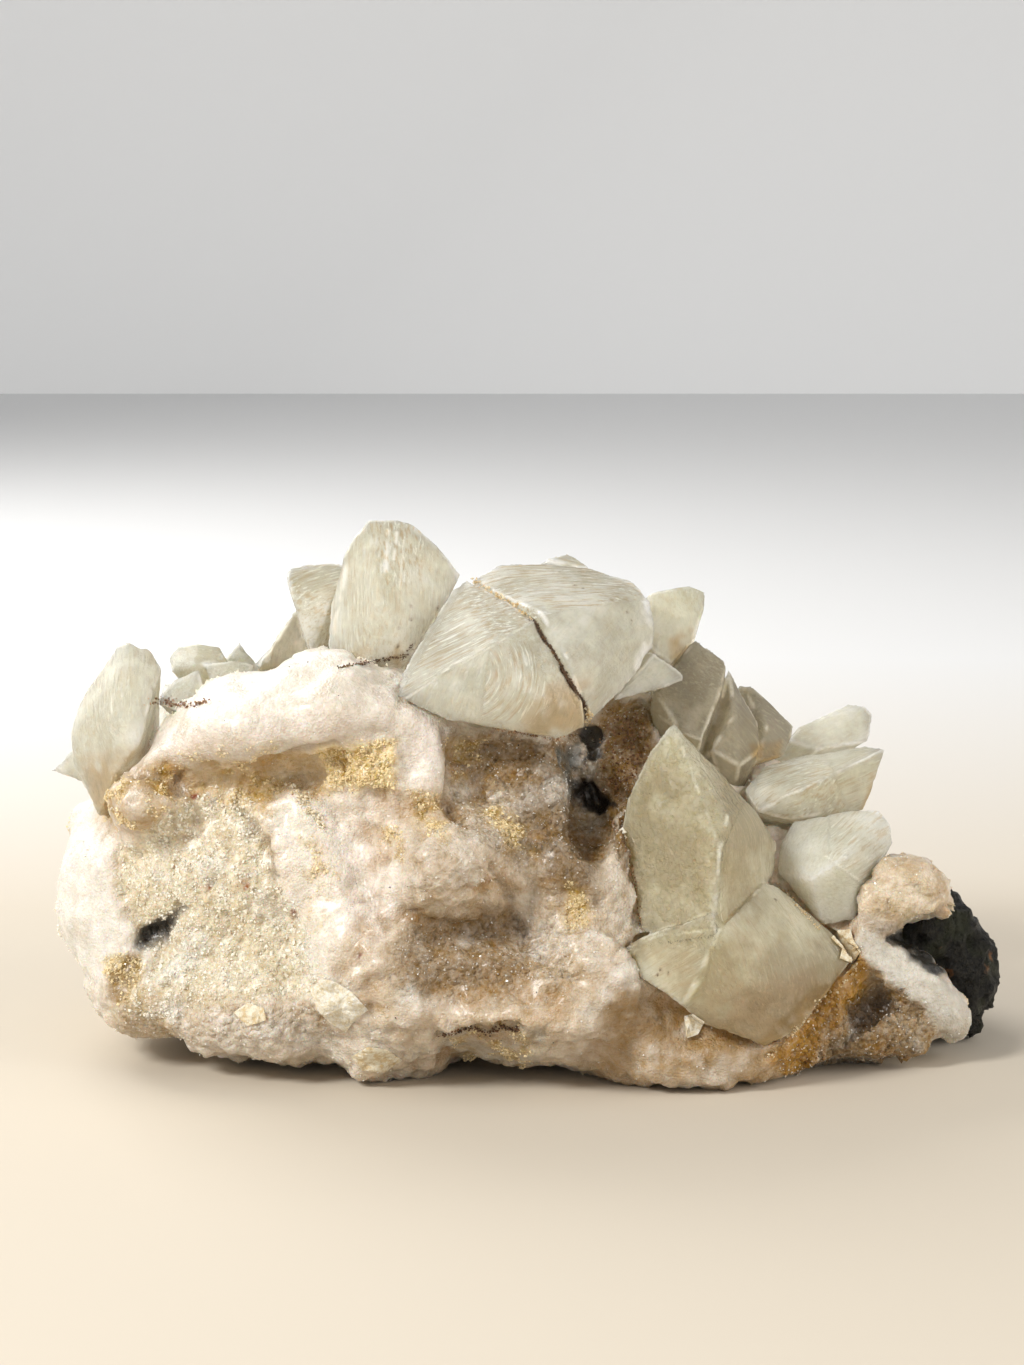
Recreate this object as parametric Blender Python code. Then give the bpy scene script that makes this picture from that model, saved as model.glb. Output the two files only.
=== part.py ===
"""Dogtooth calcite on chalcedony, with a remnant of dark basalt: a natural mineral specimen.

Frame: +Z up, origin on the resting plane under the middle of the bounding box, +X to the right and
the show face towards -Y. All sizes below are millimetres and are turned into metres when a mesh is made.
"""

import math

import bmesh
import bpy
from mathutils import Matrix, Vector, noise

MM = 0.001

# Driving sizes, in millimetres.
CONTACT_GAP = 0.35            # clearance between two minerals that touch
BODY_VOXEL = 2.2              # size of the cells that fuse the lumps of the chalcedony
BODY_RELIEF = 1.4             # height of the small swellings on it
BODY_RELIEF_LENGTH = 12.0     # spacing of those swellings
BASALT_VOXEL = 1.8
BASALT_RELIEF = 1.5
BASALT_RELIEF_LENGTH = 6.0
MERGE_DISTANCE = 0.001        # points closer than this are one
NEAR = 1.0                    # boxes closer than this are cut from each other

# Counts and shares.
BODY_TRIANGLES = 5600         # facets kept on the chalcedony body
BASALT_TRIANGLES = 620
LUMP_SUBDIVISIONS = 3
KNOB_SHARE = 0.9              # how much of the relief is rounded knobs
KNOB_MEAN = 0.4               # distance to the nearest knob that is left where it is
SHELL_LIMIT = 1.5             # longest move at a sharp corner, as a multiple of the wanted distance
GIRDLE_CORNERS = 6
ZIGZAG = 0.09                 # rise and fall of a tooth's girdle, as a share of its length

# Colours of the minerals, linear RGB, with their roughness.
CHALCEDONY = ((0.74, 0.66, 0.58), 0.55)
BASALT = ((0.035, 0.042, 0.032), 0.75)
CALCITE = ((0.62, 0.60, 0.50), 0.25)
GREY_CALCITE = ((0.45, 0.46, 0.43), 0.30)

# Lumps of the chalcedony body: centre, half axes, and the turn about Y in degrees.
CHALCEDONY_LUMPS = {
    "heart": ((0, 8, 28), (64, 40, 32), 0),
    "left_body": ((-48, 4, 38), (38, 39, 31), 0),
    "left_end": ((-73.5, 2, 29), (21.5, 32, 23), 0),
    "left_heel": ((-70, -13, 15.5), (19, 24, 12), 0),
    "left_shoulder": ((-74, 4, 44), (13, 20, 13), 0),
    "right_body": ((42, 8, 24), (35, 37, 28), 0),
    "right_end": ((62, 8, 14), (19, 24, 16), 0),
    "plateau": ((-50, 14, 54), (28, 29, 16), 0),
    "saddle": ((-14, 4, 58), (28, 31, 18), 0),
    "right_crest": ((36, 10, 42), (29, 27, 15), 0),
    "pocket_wall": ((23, 2, 56), (14, 14, 15), 0),
    "shelf_left": ((-64, -16, 60), (11, 17, 9), 0),
    "shelf_middle": ((-53, -20, 67), (16, 19, 11), -10),
    "shelf_right": ((-38, -22, 71), (17, 19, 11.5), 0),
    "shelf_end": ((-28, -22, 70), (12, 15, 10), 0),
    "left_knob": ((-71, -26, 54.5), (11, 13, 8), 0),
    "front_left": ((-46, -13, 37), (38, 27, 30), 0),
    "front_middle": ((-4, -16, 42), (32, 22, 24), 0),
    "bridge": ((-30, -22, 56), (16, 17, 15), 0),
    "pillar_left": ((-17, -24, 59), (12, 14, 14), 0),
    "pillar_right": ((-1, -21, 56), (12, 14, 14), 0),
    "knuckle": ((-17, -33, 43.5), (15, 14.5, 10), -8),
    "middle_right": ((10, -27, 43), (15, 14, 13), 0),
    "waist_right": ((18, -25, 33), (16, 17, 14), 0),
    "lower_left": ((-26, -28, 23), (24, 24, 18), 0),
    "lower_middle": ((4, -26, 19), (34, 27, 17), 0),
    "left_lobe": ((-51, -25, 14.5), (20, 20, 13.5), 0),
    "foot_left": ((-25, -27, 7.5), (15, 18, 11), 0),
    "foot_right": ((33, -25, 7.5), (30, 23, 12), 0),
    "foot_middle": ((2, -22, 11), (26, 22, 10), 0),
    "foot_back_left": ((-44, 22, 10), (22, 18, 13), 0),
    "foot_back_right": ((30, 26, 10), (26, 16, 13), 0),
    "druse_right": ((66, -20, 9.5), (14, 16, 10.5), 0),
    "rust_bank": ((58, -25, 16), (13, 14, 14), 0),
    "druse_drip": ((75.5, -27, 6.5), (5.5, 7, 6), 0),
    "white_slab": ((76.5, -20, 15), (17.5, 9, 6.5), 43),
    "ball_neck": ((65, -16, 31), (13, 14, 12), 0),
    "ball": ((73.5, -19, 33), (12, 12, 9.5), 8),
}

# Hollows carved out of that body, in the same form.
CHALCEDONY_HOLLOWS = {
    "under_shelf": ((-51, -49, 60), (20, 15, 3), -10),
    "broken_face": ((-58, -92, 36), (34, 50, 27), 0),
    "twin_undercut": ((-2, -47, 65), (18, 12, 5), 0),
    "pocket": ((14.5, -34, 58), (6, 21, 15), 10),
    "waist": ((0, -55, 34), (20, 12, 2.5), -12),
    "front_arch": ((-3, -46, -1.5), (15, 20, 5), 0),
    "left_arch": ((-39, -50, -1), (6, 16, 5), 0),
    "basalt_window": ((80, -27, 25), (10, 13, 4.5), 20),
    "drip_gap": ((84, -36, 1), (9, 20, 3.5), 0),
}

# Lumps of the basalt remnant at the right end.
BASALT_LUMPS = {
    "block": ((79, -5, 21), (12.5, 13, 11.5), 15),
    "green_lump": ((86.5, -4, 13), (9, 12, 13), 0),
    "root": ((76, 10, 17), (14, 17, 13), 0),
    "tail": ((66, 24, 14), (14, 12, 11), 0),
}

# Blocky crystals, each the solid between its corners.
TWIN_LEFT = (
    (-24.3, -34, 75), (-24.5, -32, 77.5), (-18.3, -22, 87.2), (-14.1, -16, 93.2), (-11.4, -13, 94.7),
    (-4.7, -20, 92.2), (1.6, -28, 89.1), (6.7, -34, 81.4), (10.9, -36.5, 75), (11.8, -37, 69.9), (6.3, -38, 67.6),
    (-4.7, -38, 70.1), (-14.2, -36, 70.7), (-4.7, -35.5, 85.4), (2.9, -40.5, 76), (-8, -6, 72), (6, -8, 72),
)
TWIN_RIGHT = (
    (-10.5, -11.5, 94.3), (-4.8, -6, 96.7), (4.2, -2, 96.5), (15.2, -1, 94.8), (21.1, -4, 93.4), (24.9, -8, 90),
    (25.8, -11, 85.4), (25.5, -13, 81.2), (22.6, -17, 77.5), (17.4, -26, 74.1), (12.4, -35, 70.5),
    (3.2, -27.5, 90.4), (14.7, -19, 91.7), (14.5, -29.5, 81.6), (8.2, -34.5, 82.5), (16, 6, 84), (10, 4, 72),
)
TWIN_PEAK = (
    (8.8, 12, 96.7), (4, 10, 95.4), (14, 10, 93.4), (-2, 14, 88), (20, 14, 86), (8, 23, 86), (6, 10, 58),
    (16, 19, 70), (-3, 19, 70),
)
TALL_BLOCK = (
    (-30.6, -6, 105.6), (-25.1, -3, 105.2), (-22.1, -3, 104.4), (-17.7, -4, 100.5), (-12.3, -6, 94.7),
    (-15.6, -12, 89.6), (-21.5, -20, 81.5), (-30, -21, 79.5), (-35.5, -19, 78.4), (-38.5, -13, 81.2),
    (-38.1, -9, 89.1), (-35.5, -7, 98.5), (-33.1, -6.5, 102.8), (-28, -20, 92), (-29.9, -11, 100.6),
    (-28, 5, 101), (-18, 7, 93), (-36, 5, 92), (-28, -4, 66),
)
FRONT_TOOTH = (
    (28.3, -34, 70.5), (23.9, -33, 64.4), (19.8, -31, 54.6), (18.7, -30, 47.6), (21.9, -37, 33.5),
    (22.7, -40, 30.7), (37.6, -28, 59.9), (45.4, -26, 51.2), (49.3, -25, 44.6), (48.4, -29, 38.7),
    (38.5, -43, 54), (36.6, -48, 48.7), (35.6, -51, 33.4), (32, -8, 46), (44, -8, 38), (26, -12, 50),
)
LOWER_BLOCK = (
    (45.6, -36, 39.3), (48.4, -33, 38.5), (59.3, -32, 28.7), (63.6, -33, 23.7), (54.6, -42, 17.8),
    (52.7, -43, 12.3), (45.8, -46, 9.8), (36.2, -50, 17), (32.5, -49, 15.6), (41.2, -46, 31.2),
    (43.6, -51, 23.2), (36, -53.5, 34.1), (32.3, -53.5, 24.8), (29.4, -52.5, 19.5), (48, -10, 30), (48, -14, 12),
    (58, -16, 22),
)
LOWER_WEDGE = (
    (16.8, -42, 26.7), (23.4, -45, 31.5), (35.2, -52.5, 37.7), (36, -54, 34.1), (32.3, -54, 24.8),
    (29.4, -53, 19.5), (22, -48, 23.7), (40, -36, 34), (36, -34, 18), (22, -34, 27),
)
ROUND_BLOCK = (
    (50.2, -21, 44.1), (52.8, -17, 47.4), (63, -13, 48.5), (70, -12, 48.5), (72.4, -13, 45.9), (73, -15, 42.7),
    (70.7, -20, 40.1), (66.7, -25, 34.8), (64.1, -28, 30.2), (57.5, -31, 29.4), (49.3, -26, 38.9),
    (55.1, -35, 40), (62, -32, 43.5), (60, -2, 32), (70, -2, 36),
)
SLOPING_TOOTH = (
    (71.9, -8, 60.1), (68.6, -2, 59.7), (55.2, 0, 56.9), (48, -3, 55.6), (43.6, -9, 52), (46.2, -15, 48.9),
    (54.5, -18, 54.1), (62.9, -14, 57.4), (67.6, -8, 47.6), (69.5, -7, 52.6), (54.5, -17, 47), (60, 5, 50),
    (46, 3, 42), (66, 2, 50),
)
CRESTED_BLOCK = (
    (33.6, 8, 90.2), (36.6, 8, 89), (36.5, 6, 86.6), (34.1, 3, 82.2), (31.3, -3, 74.9), (26, -4, 78.9),
    (28.5, 6, 89.9), (25.4, 5, 89.3), (20, 6, 84), (30, 19, 84), (24, 18, 86), (33, 16, 88), (28, 10, 56),
)
WEDGE = (
    (25.5, -12, 80), (31.1, -10, 75.5), (31.3, -10, 74.2), (17, -23, 72.2), (25.6, -17, 73.3), (22, -4, 79),
    (27, -6, 74), (18, -8, 72),
)
RIDGE_NEAR = (
    (34.2, 0, 81), (37.6, 0, 77.2), (40.5, -1, 76.3), (38.8, -6, 71.1), (35.2, -12, 62.4), (31, -6, 73.7),
    (25.8, -8, 71.7), (24.9, -8, 68), (31, -12, 64), (33, 8, 68), (26, 4, 70), (30, 4, 44), (37, 10, 50),
)
RIDGE_GREY = (
    (41.1, 2, 74.6), (44.3, 1, 68.3), (46.8, 0, 64), (47.1, -3, 58.7), (42.8, -8, 56.5), (37, -9, 60),
    (41.8, -6, 66.5), (38, 8, 64), (42, 4, 42), (34, 10, 50),
)
RIDGE_FAR = (
    (43.7, 8, 70.5), (46.5, 8, 69.9), (49.8, 8, 66.4), (54.8, 7, 61.6), (52.5, 1, 56.7), (47, -2, 56),
    (48.5, 1, 63), (50, 18, 58), (40, 16, 62), (38, 6, 62), (34, 10, 48),
)
FAR_BLOCK = (
    (70.2, 20, 63.6), (72, 20, 61.5), (70.8, 16, 56.8), (67, 21, 63.6), (63, 21, 61.5), (56.6, 18, 59.8),
    (54.3, 14, 57.6), (60.2, 12, 56), (62, 30, 56), (50, 24, 50), (44, 16, 42),
)
PILLAR_BLOCK = (
    (-47.8, 4, 93.2), (-47, 7, 94.4), (-43.3, 9, 94.8), (-37.3, 10, 94.6), (-45.7, 1.5, 87.4), (-44.8, 0.5, 83.7),
    (-42.3, -2, 78.9), (-38.5, 1, 88.5), (-34, 10, 93), (-36, 18, 88), (-45, 17, 86), (-40, 8, 64),
)
GREY_BLOCK = (
    (-46.3, 12, 85), (-44, 14, 86), (-50.6, 12, 79), (-53.8, 10, 73), (-43, 8, 76), (-38, 14, 80),
    (-46, 24, 76), (-46, 14, 54), (-54, 16, 64),
)
LEFT_END_BLOCK = (
    (-78.3, -5, 81), (-80.6, -4, 80.3), (-84.9, -4, 74.8), (-88.3, -4, 69.8), (-90.8, -6, 62.5), (-89.3, -9, 57),
    (-83.9, -16, 47.9), (-74.3, -5, 79.4), (-71.6, -8, 76.5), (-72.6, -18, 71.7), (-79.3, -21, 68.5),
    (-74.3, -24, 64.9), (-80.3, -21, 56.7), (-78, 14, 70), (-86, 12, 60), (-74, 0, 44),
)
HOLLOW_CHIP = (
    (-63.8, -12, 77), (-62.3, -13, 73), (-62.2, -16, 70.5), (-66.5, -18, 69), (-72, -14, 70.5), (-69, -11, 74.5),
    (-65, -4, 73), (-66, -8, 62),
)
HOLLOW_SLAB = (
    (-72, 8, 76.2), (-70, 9, 78), (-66, 8, 78.7), (-61.5, 9, 77.8), (-60.5, 6, 76), (-66, 1, 75), (-71, 4, 73.5),
    (-65, 16, 76), (-59, 13, 72), (-60, 10, 58),
)
HOLLOW_GREY = (
    (-64, 2, 75.2), (-59, 2, 76.2), (-54, 2, 75.2), (-62.6, -3, 71.5), (-56, -3, 72.5), (-58, 10, 74), (-58, 4, 62),
)

# Teeth: tip, root, width across the show face, thickness front to back, turn about the axis in degrees,
# and the place of the widest girdle as a share of the length from the tip.
TEETH = {
    "ridge_peak": ((30, 14, 77), (31, 10, 48), 16, 14, 10, 0.45),
    "spur": ((-95.8, 5, 52.8), (-74, 4, 58), 12, 10, 20, 0.5),
    "hollow_pale": ((-58, 15, 77.6), (-58, 12, 58), 12, 12, 30, 0.4),
    "hollow_rear": ((-66, 26, 74), (-59, 17, 52), 17, 14, 20, 0.45),
    "hollow_steep": ((-51.8, 17, 76.4), (-54, 16, 56), 13, 12, 0, 0.4),
    "back_one": ((-76, 36, 66), (-58, 14, 44), 19, 17, 10, 0.45),
    "back_two": ((-50, 50, 73), (-44, 24, 46), 24, 21, 35, 0.42),
    "back_three": ((-24, 36, 90), (-22, 16, 52), 27, 23, 5, 0.42),
    "back_four": ((-6, 51, 76), (-6, 24, 46), 21, 18, 50, 0.47),
    "back_five": ((25, 40, 80), (14, 20, 46), 25, 20, 30, 0.4),
    "back_six": ((45, 34, 63), (32, 18, 38), 19, 17, 15, 0.45),
    "back_seven": ((58, 43, 46), (44, 22, 28), 21, 16, 65, 0.45),
    "back_low_left": ((-34, 60, 49), (-28, 28, 36), 17, 19, 20, 0.42),
    "back_low_right": ((14, 61, 43), (8, 28, 32), 22, 16, 0, 0.45),
    "plateau_left": ((-40, 34, 75), (-37, 20, 48), 17, 14, 0, 0.45),
    "plateau_middle": ((11, 27, 88), (8, 18, 58), 19, 16, 40, 0.42),
    "plateau_right": ((34, 25, 72), (30, 16, 48), 15, 13, 0, 0.45),
    "small_left": ((-60, 50, 50), (-46, 24, 38), 13, 11, 0, 0.45),
    "small_middle": ((-10, 60, 61), (-4, 30, 42), 12, 13, 20, 0.45),
    "small_right": ((36, 52, 51), (26, 24, 38), 14, 12, 15, 0.45),
    "small_end": ((-85, 27, 55), (-66, 12, 42), 13, 11, 0, 0.45),
}

# Crystals grown together are one solid. A later solid gives way to the earlier ones that it meets.
CRYSTAL_GROUPS = (
    ("twin_crystal", ("twin_left", "twin_right"), CALCITE),
    ("tall_crystal", ("tall_block",), CALCITE),
    ("front_crystals", ("front_tooth", "lower_block", "lower_wedge"), CALCITE),
    ("round_crystal", ("round_block",), CALCITE),
    ("sloping_crystal", ("sloping_tooth",), CALCITE),
    ("wedge_crystal", ("wedge",), CALCITE),
    ("ridge_crystals", ("ridge_near", "ridge_grey", "ridge_far", "ridge_peak"), GREY_CALCITE),
    ("crested_crystal", ("crested_block",), CALCITE),
    ("pillar_crystal", ("pillar_block",), GREY_CALCITE),
    ("grey_crystal", ("grey_block",), GREY_CALCITE),
    ("left_end_crystal", ("left_end_block",), CALCITE),
    ("spur_crystal", ("spur",), CALCITE),
    ("hollow_chip_crystal", ("hollow_chip",), CALCITE),
    ("hollow_crystals", ("hollow_slab", "hollow_grey", "hollow_pale", "hollow_rear", "hollow_steep"), CALCITE),
    ("twin_peak_crystal", ("twin_peak",), CALCITE),
    ("far_right_crystal", ("far_block",), CALCITE),
    ("back_crystal_1", ("back_one",), CALCITE),
    ("back_crystal_2", ("back_two",), CALCITE),
    ("back_crystal_3", ("back_three",), CALCITE),
    ("back_crystal_4", ("back_four",), CALCITE),
    ("back_crystal_5", ("back_five",), CALCITE),
    ("back_crystal_6", ("back_six",), CALCITE),
    ("back_crystal_7", ("back_seven",), CALCITE),
    ("back_crystal_8", ("back_low_left",), CALCITE),
    ("back_crystal_9", ("back_low_right",), CALCITE),
    ("plateau_crystal_1", ("plateau_left",), CALCITE),
    ("plateau_crystal_2", ("plateau_middle",), CALCITE),
    ("plateau_crystal_3", ("plateau_right",), GREY_CALCITE),
    ("small_crystal_1", ("small_left",), CALCITE),
    ("small_crystal_2", ("small_middle",), CALCITE),
    ("small_crystal_3", ("small_right",), CALCITE),
    ("small_crystal_4", ("small_end",), CALCITE),
)

BLOCKS = {
    "twin_left": TWIN_LEFT,
    "twin_right": TWIN_RIGHT,
    "twin_peak": TWIN_PEAK,
    "tall_block": TALL_BLOCK,
    "front_tooth": FRONT_TOOTH,
    "lower_block": LOWER_BLOCK,
    "lower_wedge": LOWER_WEDGE,
    "round_block": ROUND_BLOCK,
    "sloping_tooth": SLOPING_TOOTH,
    "crested_block": CRESTED_BLOCK,
    "wedge": WEDGE,
    "ridge_near": RIDGE_NEAR,
    "ridge_grey": RIDGE_GREY,
    "ridge_far": RIDGE_FAR,
    "far_block": FAR_BLOCK,
    "pillar_block": PILLAR_BLOCK,
    "grey_block": GREY_BLOCK,
    "left_end_block": LEFT_END_BLOCK,
    "hollow_chip": HOLLOW_CHIP,
    "hollow_slab": HOLLOW_SLAB,
    "hollow_grey": HOLLOW_GREY,
}


def clear_scene():
    for obj in list(bpy.data.objects):
        bpy.data.objects.remove(obj)


def paint(obj, look):
    """Gives the object a material of its own."""
    colour, roughness = look
    material = bpy.data.materials.new(obj.name)
    material.use_nodes = True
    shader = material.node_tree.nodes["Principled BSDF"]
    shader.inputs["Base Color"].default_value = (*colour, 1)
    shader.inputs["Roughness"].default_value = roughness
    obj.data.materials.clear()
    obj.data.materials.append(material)


def object_from(name, bm):
    """A new object that holds the bmesh, whose points are millimetres."""
    bmesh.ops.scale(bm, vec=(MM, MM, MM), verts=bm.verts)
    mesh = bpy.data.meshes.new(name)
    bm.to_mesh(mesh)
    bm.free()
    obj = bpy.data.objects.new(name, mesh)
    bpy.context.scene.collection.objects.link(obj)
    return obj


def apply_modifiers(obj):
    graph = bpy.context.evaluated_depsgraph_get()
    mesh = bpy.data.meshes.new_from_object(obj.evaluated_get(graph))
    obj.modifiers.clear()
    obj.data = mesh


def combine(obj, others, operation):
    """Boolean of obj with each of the others, which are then removed."""
    for other in others:
        modifier = obj.modifiers.new(other.name, "BOOLEAN")
        modifier.solver = "EXACT"
        modifier.operation = operation
        modifier.object = other
        apply_modifiers(obj)
        bpy.data.objects.remove(other)


def keep_largest_body(obj):
    """Drops the chips that a cut leaves loose."""
    bm = bmesh.new()
    bm.from_mesh(obj.data)
    bmesh.ops.remove_doubles(bm, verts=bm.verts, dist=MERGE_DISTANCE * MM)
    unseen = set(bm.verts)
    bodies = []
    while unseen:
        front = [unseen.pop()]
        body = set(front)
        while front:
            for edge in front.pop().link_edges:
                for vert in edge.verts:
                    if vert in unseen:
                        unseen.remove(vert)
                        body.add(vert)
                        front.append(vert)
        bodies.append(body)
    bodies.sort(key=len)
    for body in bodies[:-1]:
        bmesh.ops.delete(bm, geom=list(body), context="VERTS")
    bm.to_mesh(obj.data)
    bm.free()


def ellipsoids(name, lumps):
    """One object that holds an ellipsoid for each lump."""
    bm = bmesh.new()
    for centre, half_axes, turn in lumps.values():
        place = Matrix.Translation(centre) @ Matrix.Rotation(math.radians(turn), 4, "Y")
        place = place @ Matrix.Diagonal((*half_axes, 1))
        bmesh.ops.create_icosphere(bm, subdivisions=LUMP_SUBDIVISIONS, radius=1, matrix=place)
    return object_from(name, bm)


def fuse(obj, voxel, smoothing):
    """Melts overlapping shapes into one skin and softens the creases between them."""
    remesh = obj.modifiers.new("fuse", "REMESH")
    remesh.mode = "VOXEL"
    remesh.voxel_size = voxel * MM
    smooth = obj.modifiers.new("soften", "SMOOTH")
    smooth.factor = 0.5
    smooth.iterations = smoothing
    apply_modifiers(obj)


def roughen(obj, height, length):
    """Moves the skin in and out along its normals by a rolling, billowed noise."""
    bm = bmesh.new()
    bm.from_mesh(obj.data)
    bm.normal_update()
    moves = []
    for vert in bm.verts:
        place = vert.co / (length * MM)
        swelling = noise.fractal(place, 1.0, 2.0, 3)
        knobs = noise.voronoi(place)[0][0]
        moves.append(vert.normal * (swelling + KNOB_SHARE * (KNOB_MEAN - knobs)) * height * MM)
    for vert, move in zip(bm.verts, moves):
        vert.co += move
    bm.to_mesh(obj.data)
    bm.free()


def thin_out(obj, triangles):
    """Keeps about this many facets."""
    bm = bmesh.new()
    bm.from_mesh(obj.data)
    bmesh.ops.triangulate(bm, faces=bm.faces)
    count = len(bm.faces)
    bm.to_mesh(obj.data)
    bm.free()
    decimate = obj.modifiers.new("thin", "DECIMATE")
    decimate.ratio = triangles / count
    apply_modifiers(obj)


def cut_flat(obj):
    """Grinds off what lies below the resting plane and closes the cut."""
    bm = bmesh.new()
    bm.from_mesh(obj.data)
    geometry = bm.verts[:] + bm.edges[:] + bm.faces[:]
    cut = bmesh.ops.bisect_plane(bm, geom=geometry, plane_co=(0, 0, 0), plane_no=(0, 0, -1), clear_outer=True)
    rim = [item for item in cut["geom_cut"] if isinstance(item, bmesh.types.BMEdge)]
    bmesh.ops.holes_fill(bm, edges=rim)
    bmesh.ops.triangulate(bm, faces=bm.faces)
    bm.to_mesh(obj.data)
    bm.free()


def chalcedony_body():
    body = ellipsoids("chalcedony_body", CHALCEDONY_LUMPS)
    fuse(body, BODY_VOXEL, smoothing=5)
    hollows = [ellipsoids(name, {name: hollow}) for name, hollow in CHALCEDONY_HOLLOWS.items()]
    combine(body, hollows, "DIFFERENCE")
    fuse(body, BODY_VOXEL, smoothing=2)
    roughen(body, BODY_RELIEF, BODY_RELIEF_LENGTH)
    thin_out(body, BODY_TRIANGLES)
    cut_flat(body)
    paint(body, CHALCEDONY)
    return body


def basalt_remnant():
    body = ellipsoids("basalt_remnant", BASALT_LUMPS)
    fuse(body, BASALT_VOXEL, smoothing=3)
    roughen(body, BASALT_RELIEF, BASALT_RELIEF_LENGTH)
    thin_out(body, BASALT_TRIANGLES)
    paint(body, BASALT)
    return body


def block(corners):
    """bmesh of the solid between the corners."""
    bm = bmesh.new()
    for corner in corners:
        bm.verts.new(corner)
    hull = bmesh.ops.convex_hull(bm, input=bm.verts)
    inner = [item for item in hull["geom_interior"] if isinstance(item, bmesh.types.BMVert)]
    bmesh.ops.delete(bm, geom=inner, context="VERTS")
    bmesh.ops.recalc_face_normals(bm, faces=bm.faces)
    return bm


def tooth(tip, root, width, thickness, turn, girdle):
    """bmesh of a scalenohedron, the dogtooth form: two points joined by a girdle of six corners."""
    tip, root = Vector(tip), Vector(root)
    axis = root - tip
    across = axis.cross(Vector((0, 1, 0))).normalized()
    through = axis.cross(across).normalized()
    corners = [tip, root]
    for step in range(GIRDLE_CORNERS):
        angle = math.tau * step / GIRDLE_CORNERS + math.radians(turn)
        place = girdle + (ZIGZAG if step % 2 else -ZIGZAG)
        corners.append(
            tip + axis * place
            + across * math.cos(angle) * width / 2
            + through * math.sin(angle) * thickness / 2
        )
    return block(corners)


def crystal_mesh(name):
    """bmesh of one crystal from the tables."""
    return block(BLOCKS[name]) if name in BLOCKS else tooth(*TEETH[name])


def crystal(name, grown=0.0):
    """Object of one crystal, with its faces moved out by grown millimetres."""
    bm = crystal_mesh(name)
    bm.normal_update()
    moves = [vert.normal * vert.calc_shell_factor() * grown for vert in bm.verts]
    for vert, move in zip(bm.verts, moves):
        vert.co += move
    return object_from(name, bm)


def crystal_group(name, members, look, earlier):
    """One solid of crystals grown together, cut back from the earlier ones that it meets."""
    first, *rest = [crystal(member) for member in members]
    combine(first, rest, "UNION")
    combine(first, [crystal(member, CONTACT_GAP) for member in earlier], "DIFFERENCE")
    keep_largest_body(first)
    first.name = name
    paint(first, look)
    return first


def overlaps(one, other):
    """Whether the boxes of two crystals meet."""
    low_a, high_a = box_of(corners_of(one))
    low_b, high_b = box_of(corners_of(other))
    return all(low_a[i] - NEAR < high_b[i] and low_b[i] - NEAR < high_a[i] for i in range(3))


def corners_of(name):
    bm = crystal_mesh(name)
    corners = [tuple(vert.co) for vert in bm.verts]
    bm.free()
    return corners


def box_of(points):
    return [min(p[i] for p in points) for i in range(3)], [max(p[i] for p in points) for i in range(3)]


def grow_skin(obj, distance):
    """Moves the skin of a copy of obj out along its normals."""
    copy = obj.copy()
    copy.data = obj.data.copy()
    bpy.context.scene.collection.objects.link(copy)
    bm = bmesh.new()
    bm.from_mesh(copy.data)
    bm.normal_update()
    moves = [vert.normal * min(vert.calc_shell_factor(), SHELL_LIMIT) * distance * MM for vert in bm.verts]
    for vert, move in zip(bm.verts, moves):
        vert.co += move
    bm.to_mesh(copy.data)
    bm.free()
    return copy


def make_room(obj, members):
    """Cuts sockets for the crystals, and keeps the one body that is left."""
    combine(obj, [crystal(member, CONTACT_GAP) for member in members], "DIFFERENCE")
    keep_largest_body(obj)


def seat_on_origin(objects):
    """Hangs every object on an empty that puts the origin under the middle of the whole, on the resting plane."""
    low, high = box_of([vert.co for obj in objects for vert in obj.data.vertices])
    specimen = bpy.data.objects.new("specimen", None)
    specimen.location = (-(low[0] + high[0]) / 2, -(low[1] + high[1]) / 2, -low[2])
    bpy.context.scene.collection.objects.link(specimen)
    for obj in objects:
        obj.parent = specimen


def main():
    clear_scene()
    groups = []
    done = []
    for name, members, look in CRYSTAL_GROUPS:
        near = [other for other in done if any(overlaps(other, member) for member in members)]
        groups.append(crystal_group(name, members, look, near))
        done.extend(members)

    basalt = basalt_remnant()
    make_room(basalt, done)
    body = chalcedony_body()
    combine(body, [grow_skin(basalt, CONTACT_GAP)], "DIFFERENCE")
    make_room(body, done)
    seat_on_origin([body, basalt, *groups])


main()
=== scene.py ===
"""Looks of a dogtooth calcite specimen: frosted crystals on a mass of chalcedony, with a basalt remnant.

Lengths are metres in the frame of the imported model, unless a name says pixels.
"""

import itertools
import math

import bpy
import numpy as np
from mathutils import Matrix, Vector
from mathutils.bvhtree import BVHTree
from mathutils.kdtree import KDTree


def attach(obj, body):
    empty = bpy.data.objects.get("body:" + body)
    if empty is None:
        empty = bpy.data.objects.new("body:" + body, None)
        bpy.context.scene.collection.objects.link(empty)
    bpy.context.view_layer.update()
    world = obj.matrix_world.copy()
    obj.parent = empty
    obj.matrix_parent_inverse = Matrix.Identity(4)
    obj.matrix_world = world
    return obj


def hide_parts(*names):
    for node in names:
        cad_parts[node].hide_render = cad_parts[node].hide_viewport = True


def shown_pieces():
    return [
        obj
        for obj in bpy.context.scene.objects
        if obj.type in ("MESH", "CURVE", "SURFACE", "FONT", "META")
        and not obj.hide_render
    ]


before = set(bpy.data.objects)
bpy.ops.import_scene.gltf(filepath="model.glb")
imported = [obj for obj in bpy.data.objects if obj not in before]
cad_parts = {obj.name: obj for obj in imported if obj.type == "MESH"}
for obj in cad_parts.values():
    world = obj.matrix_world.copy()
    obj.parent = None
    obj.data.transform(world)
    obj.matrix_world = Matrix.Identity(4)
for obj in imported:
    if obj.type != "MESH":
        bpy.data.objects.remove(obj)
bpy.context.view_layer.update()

MM = 0.001

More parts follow.
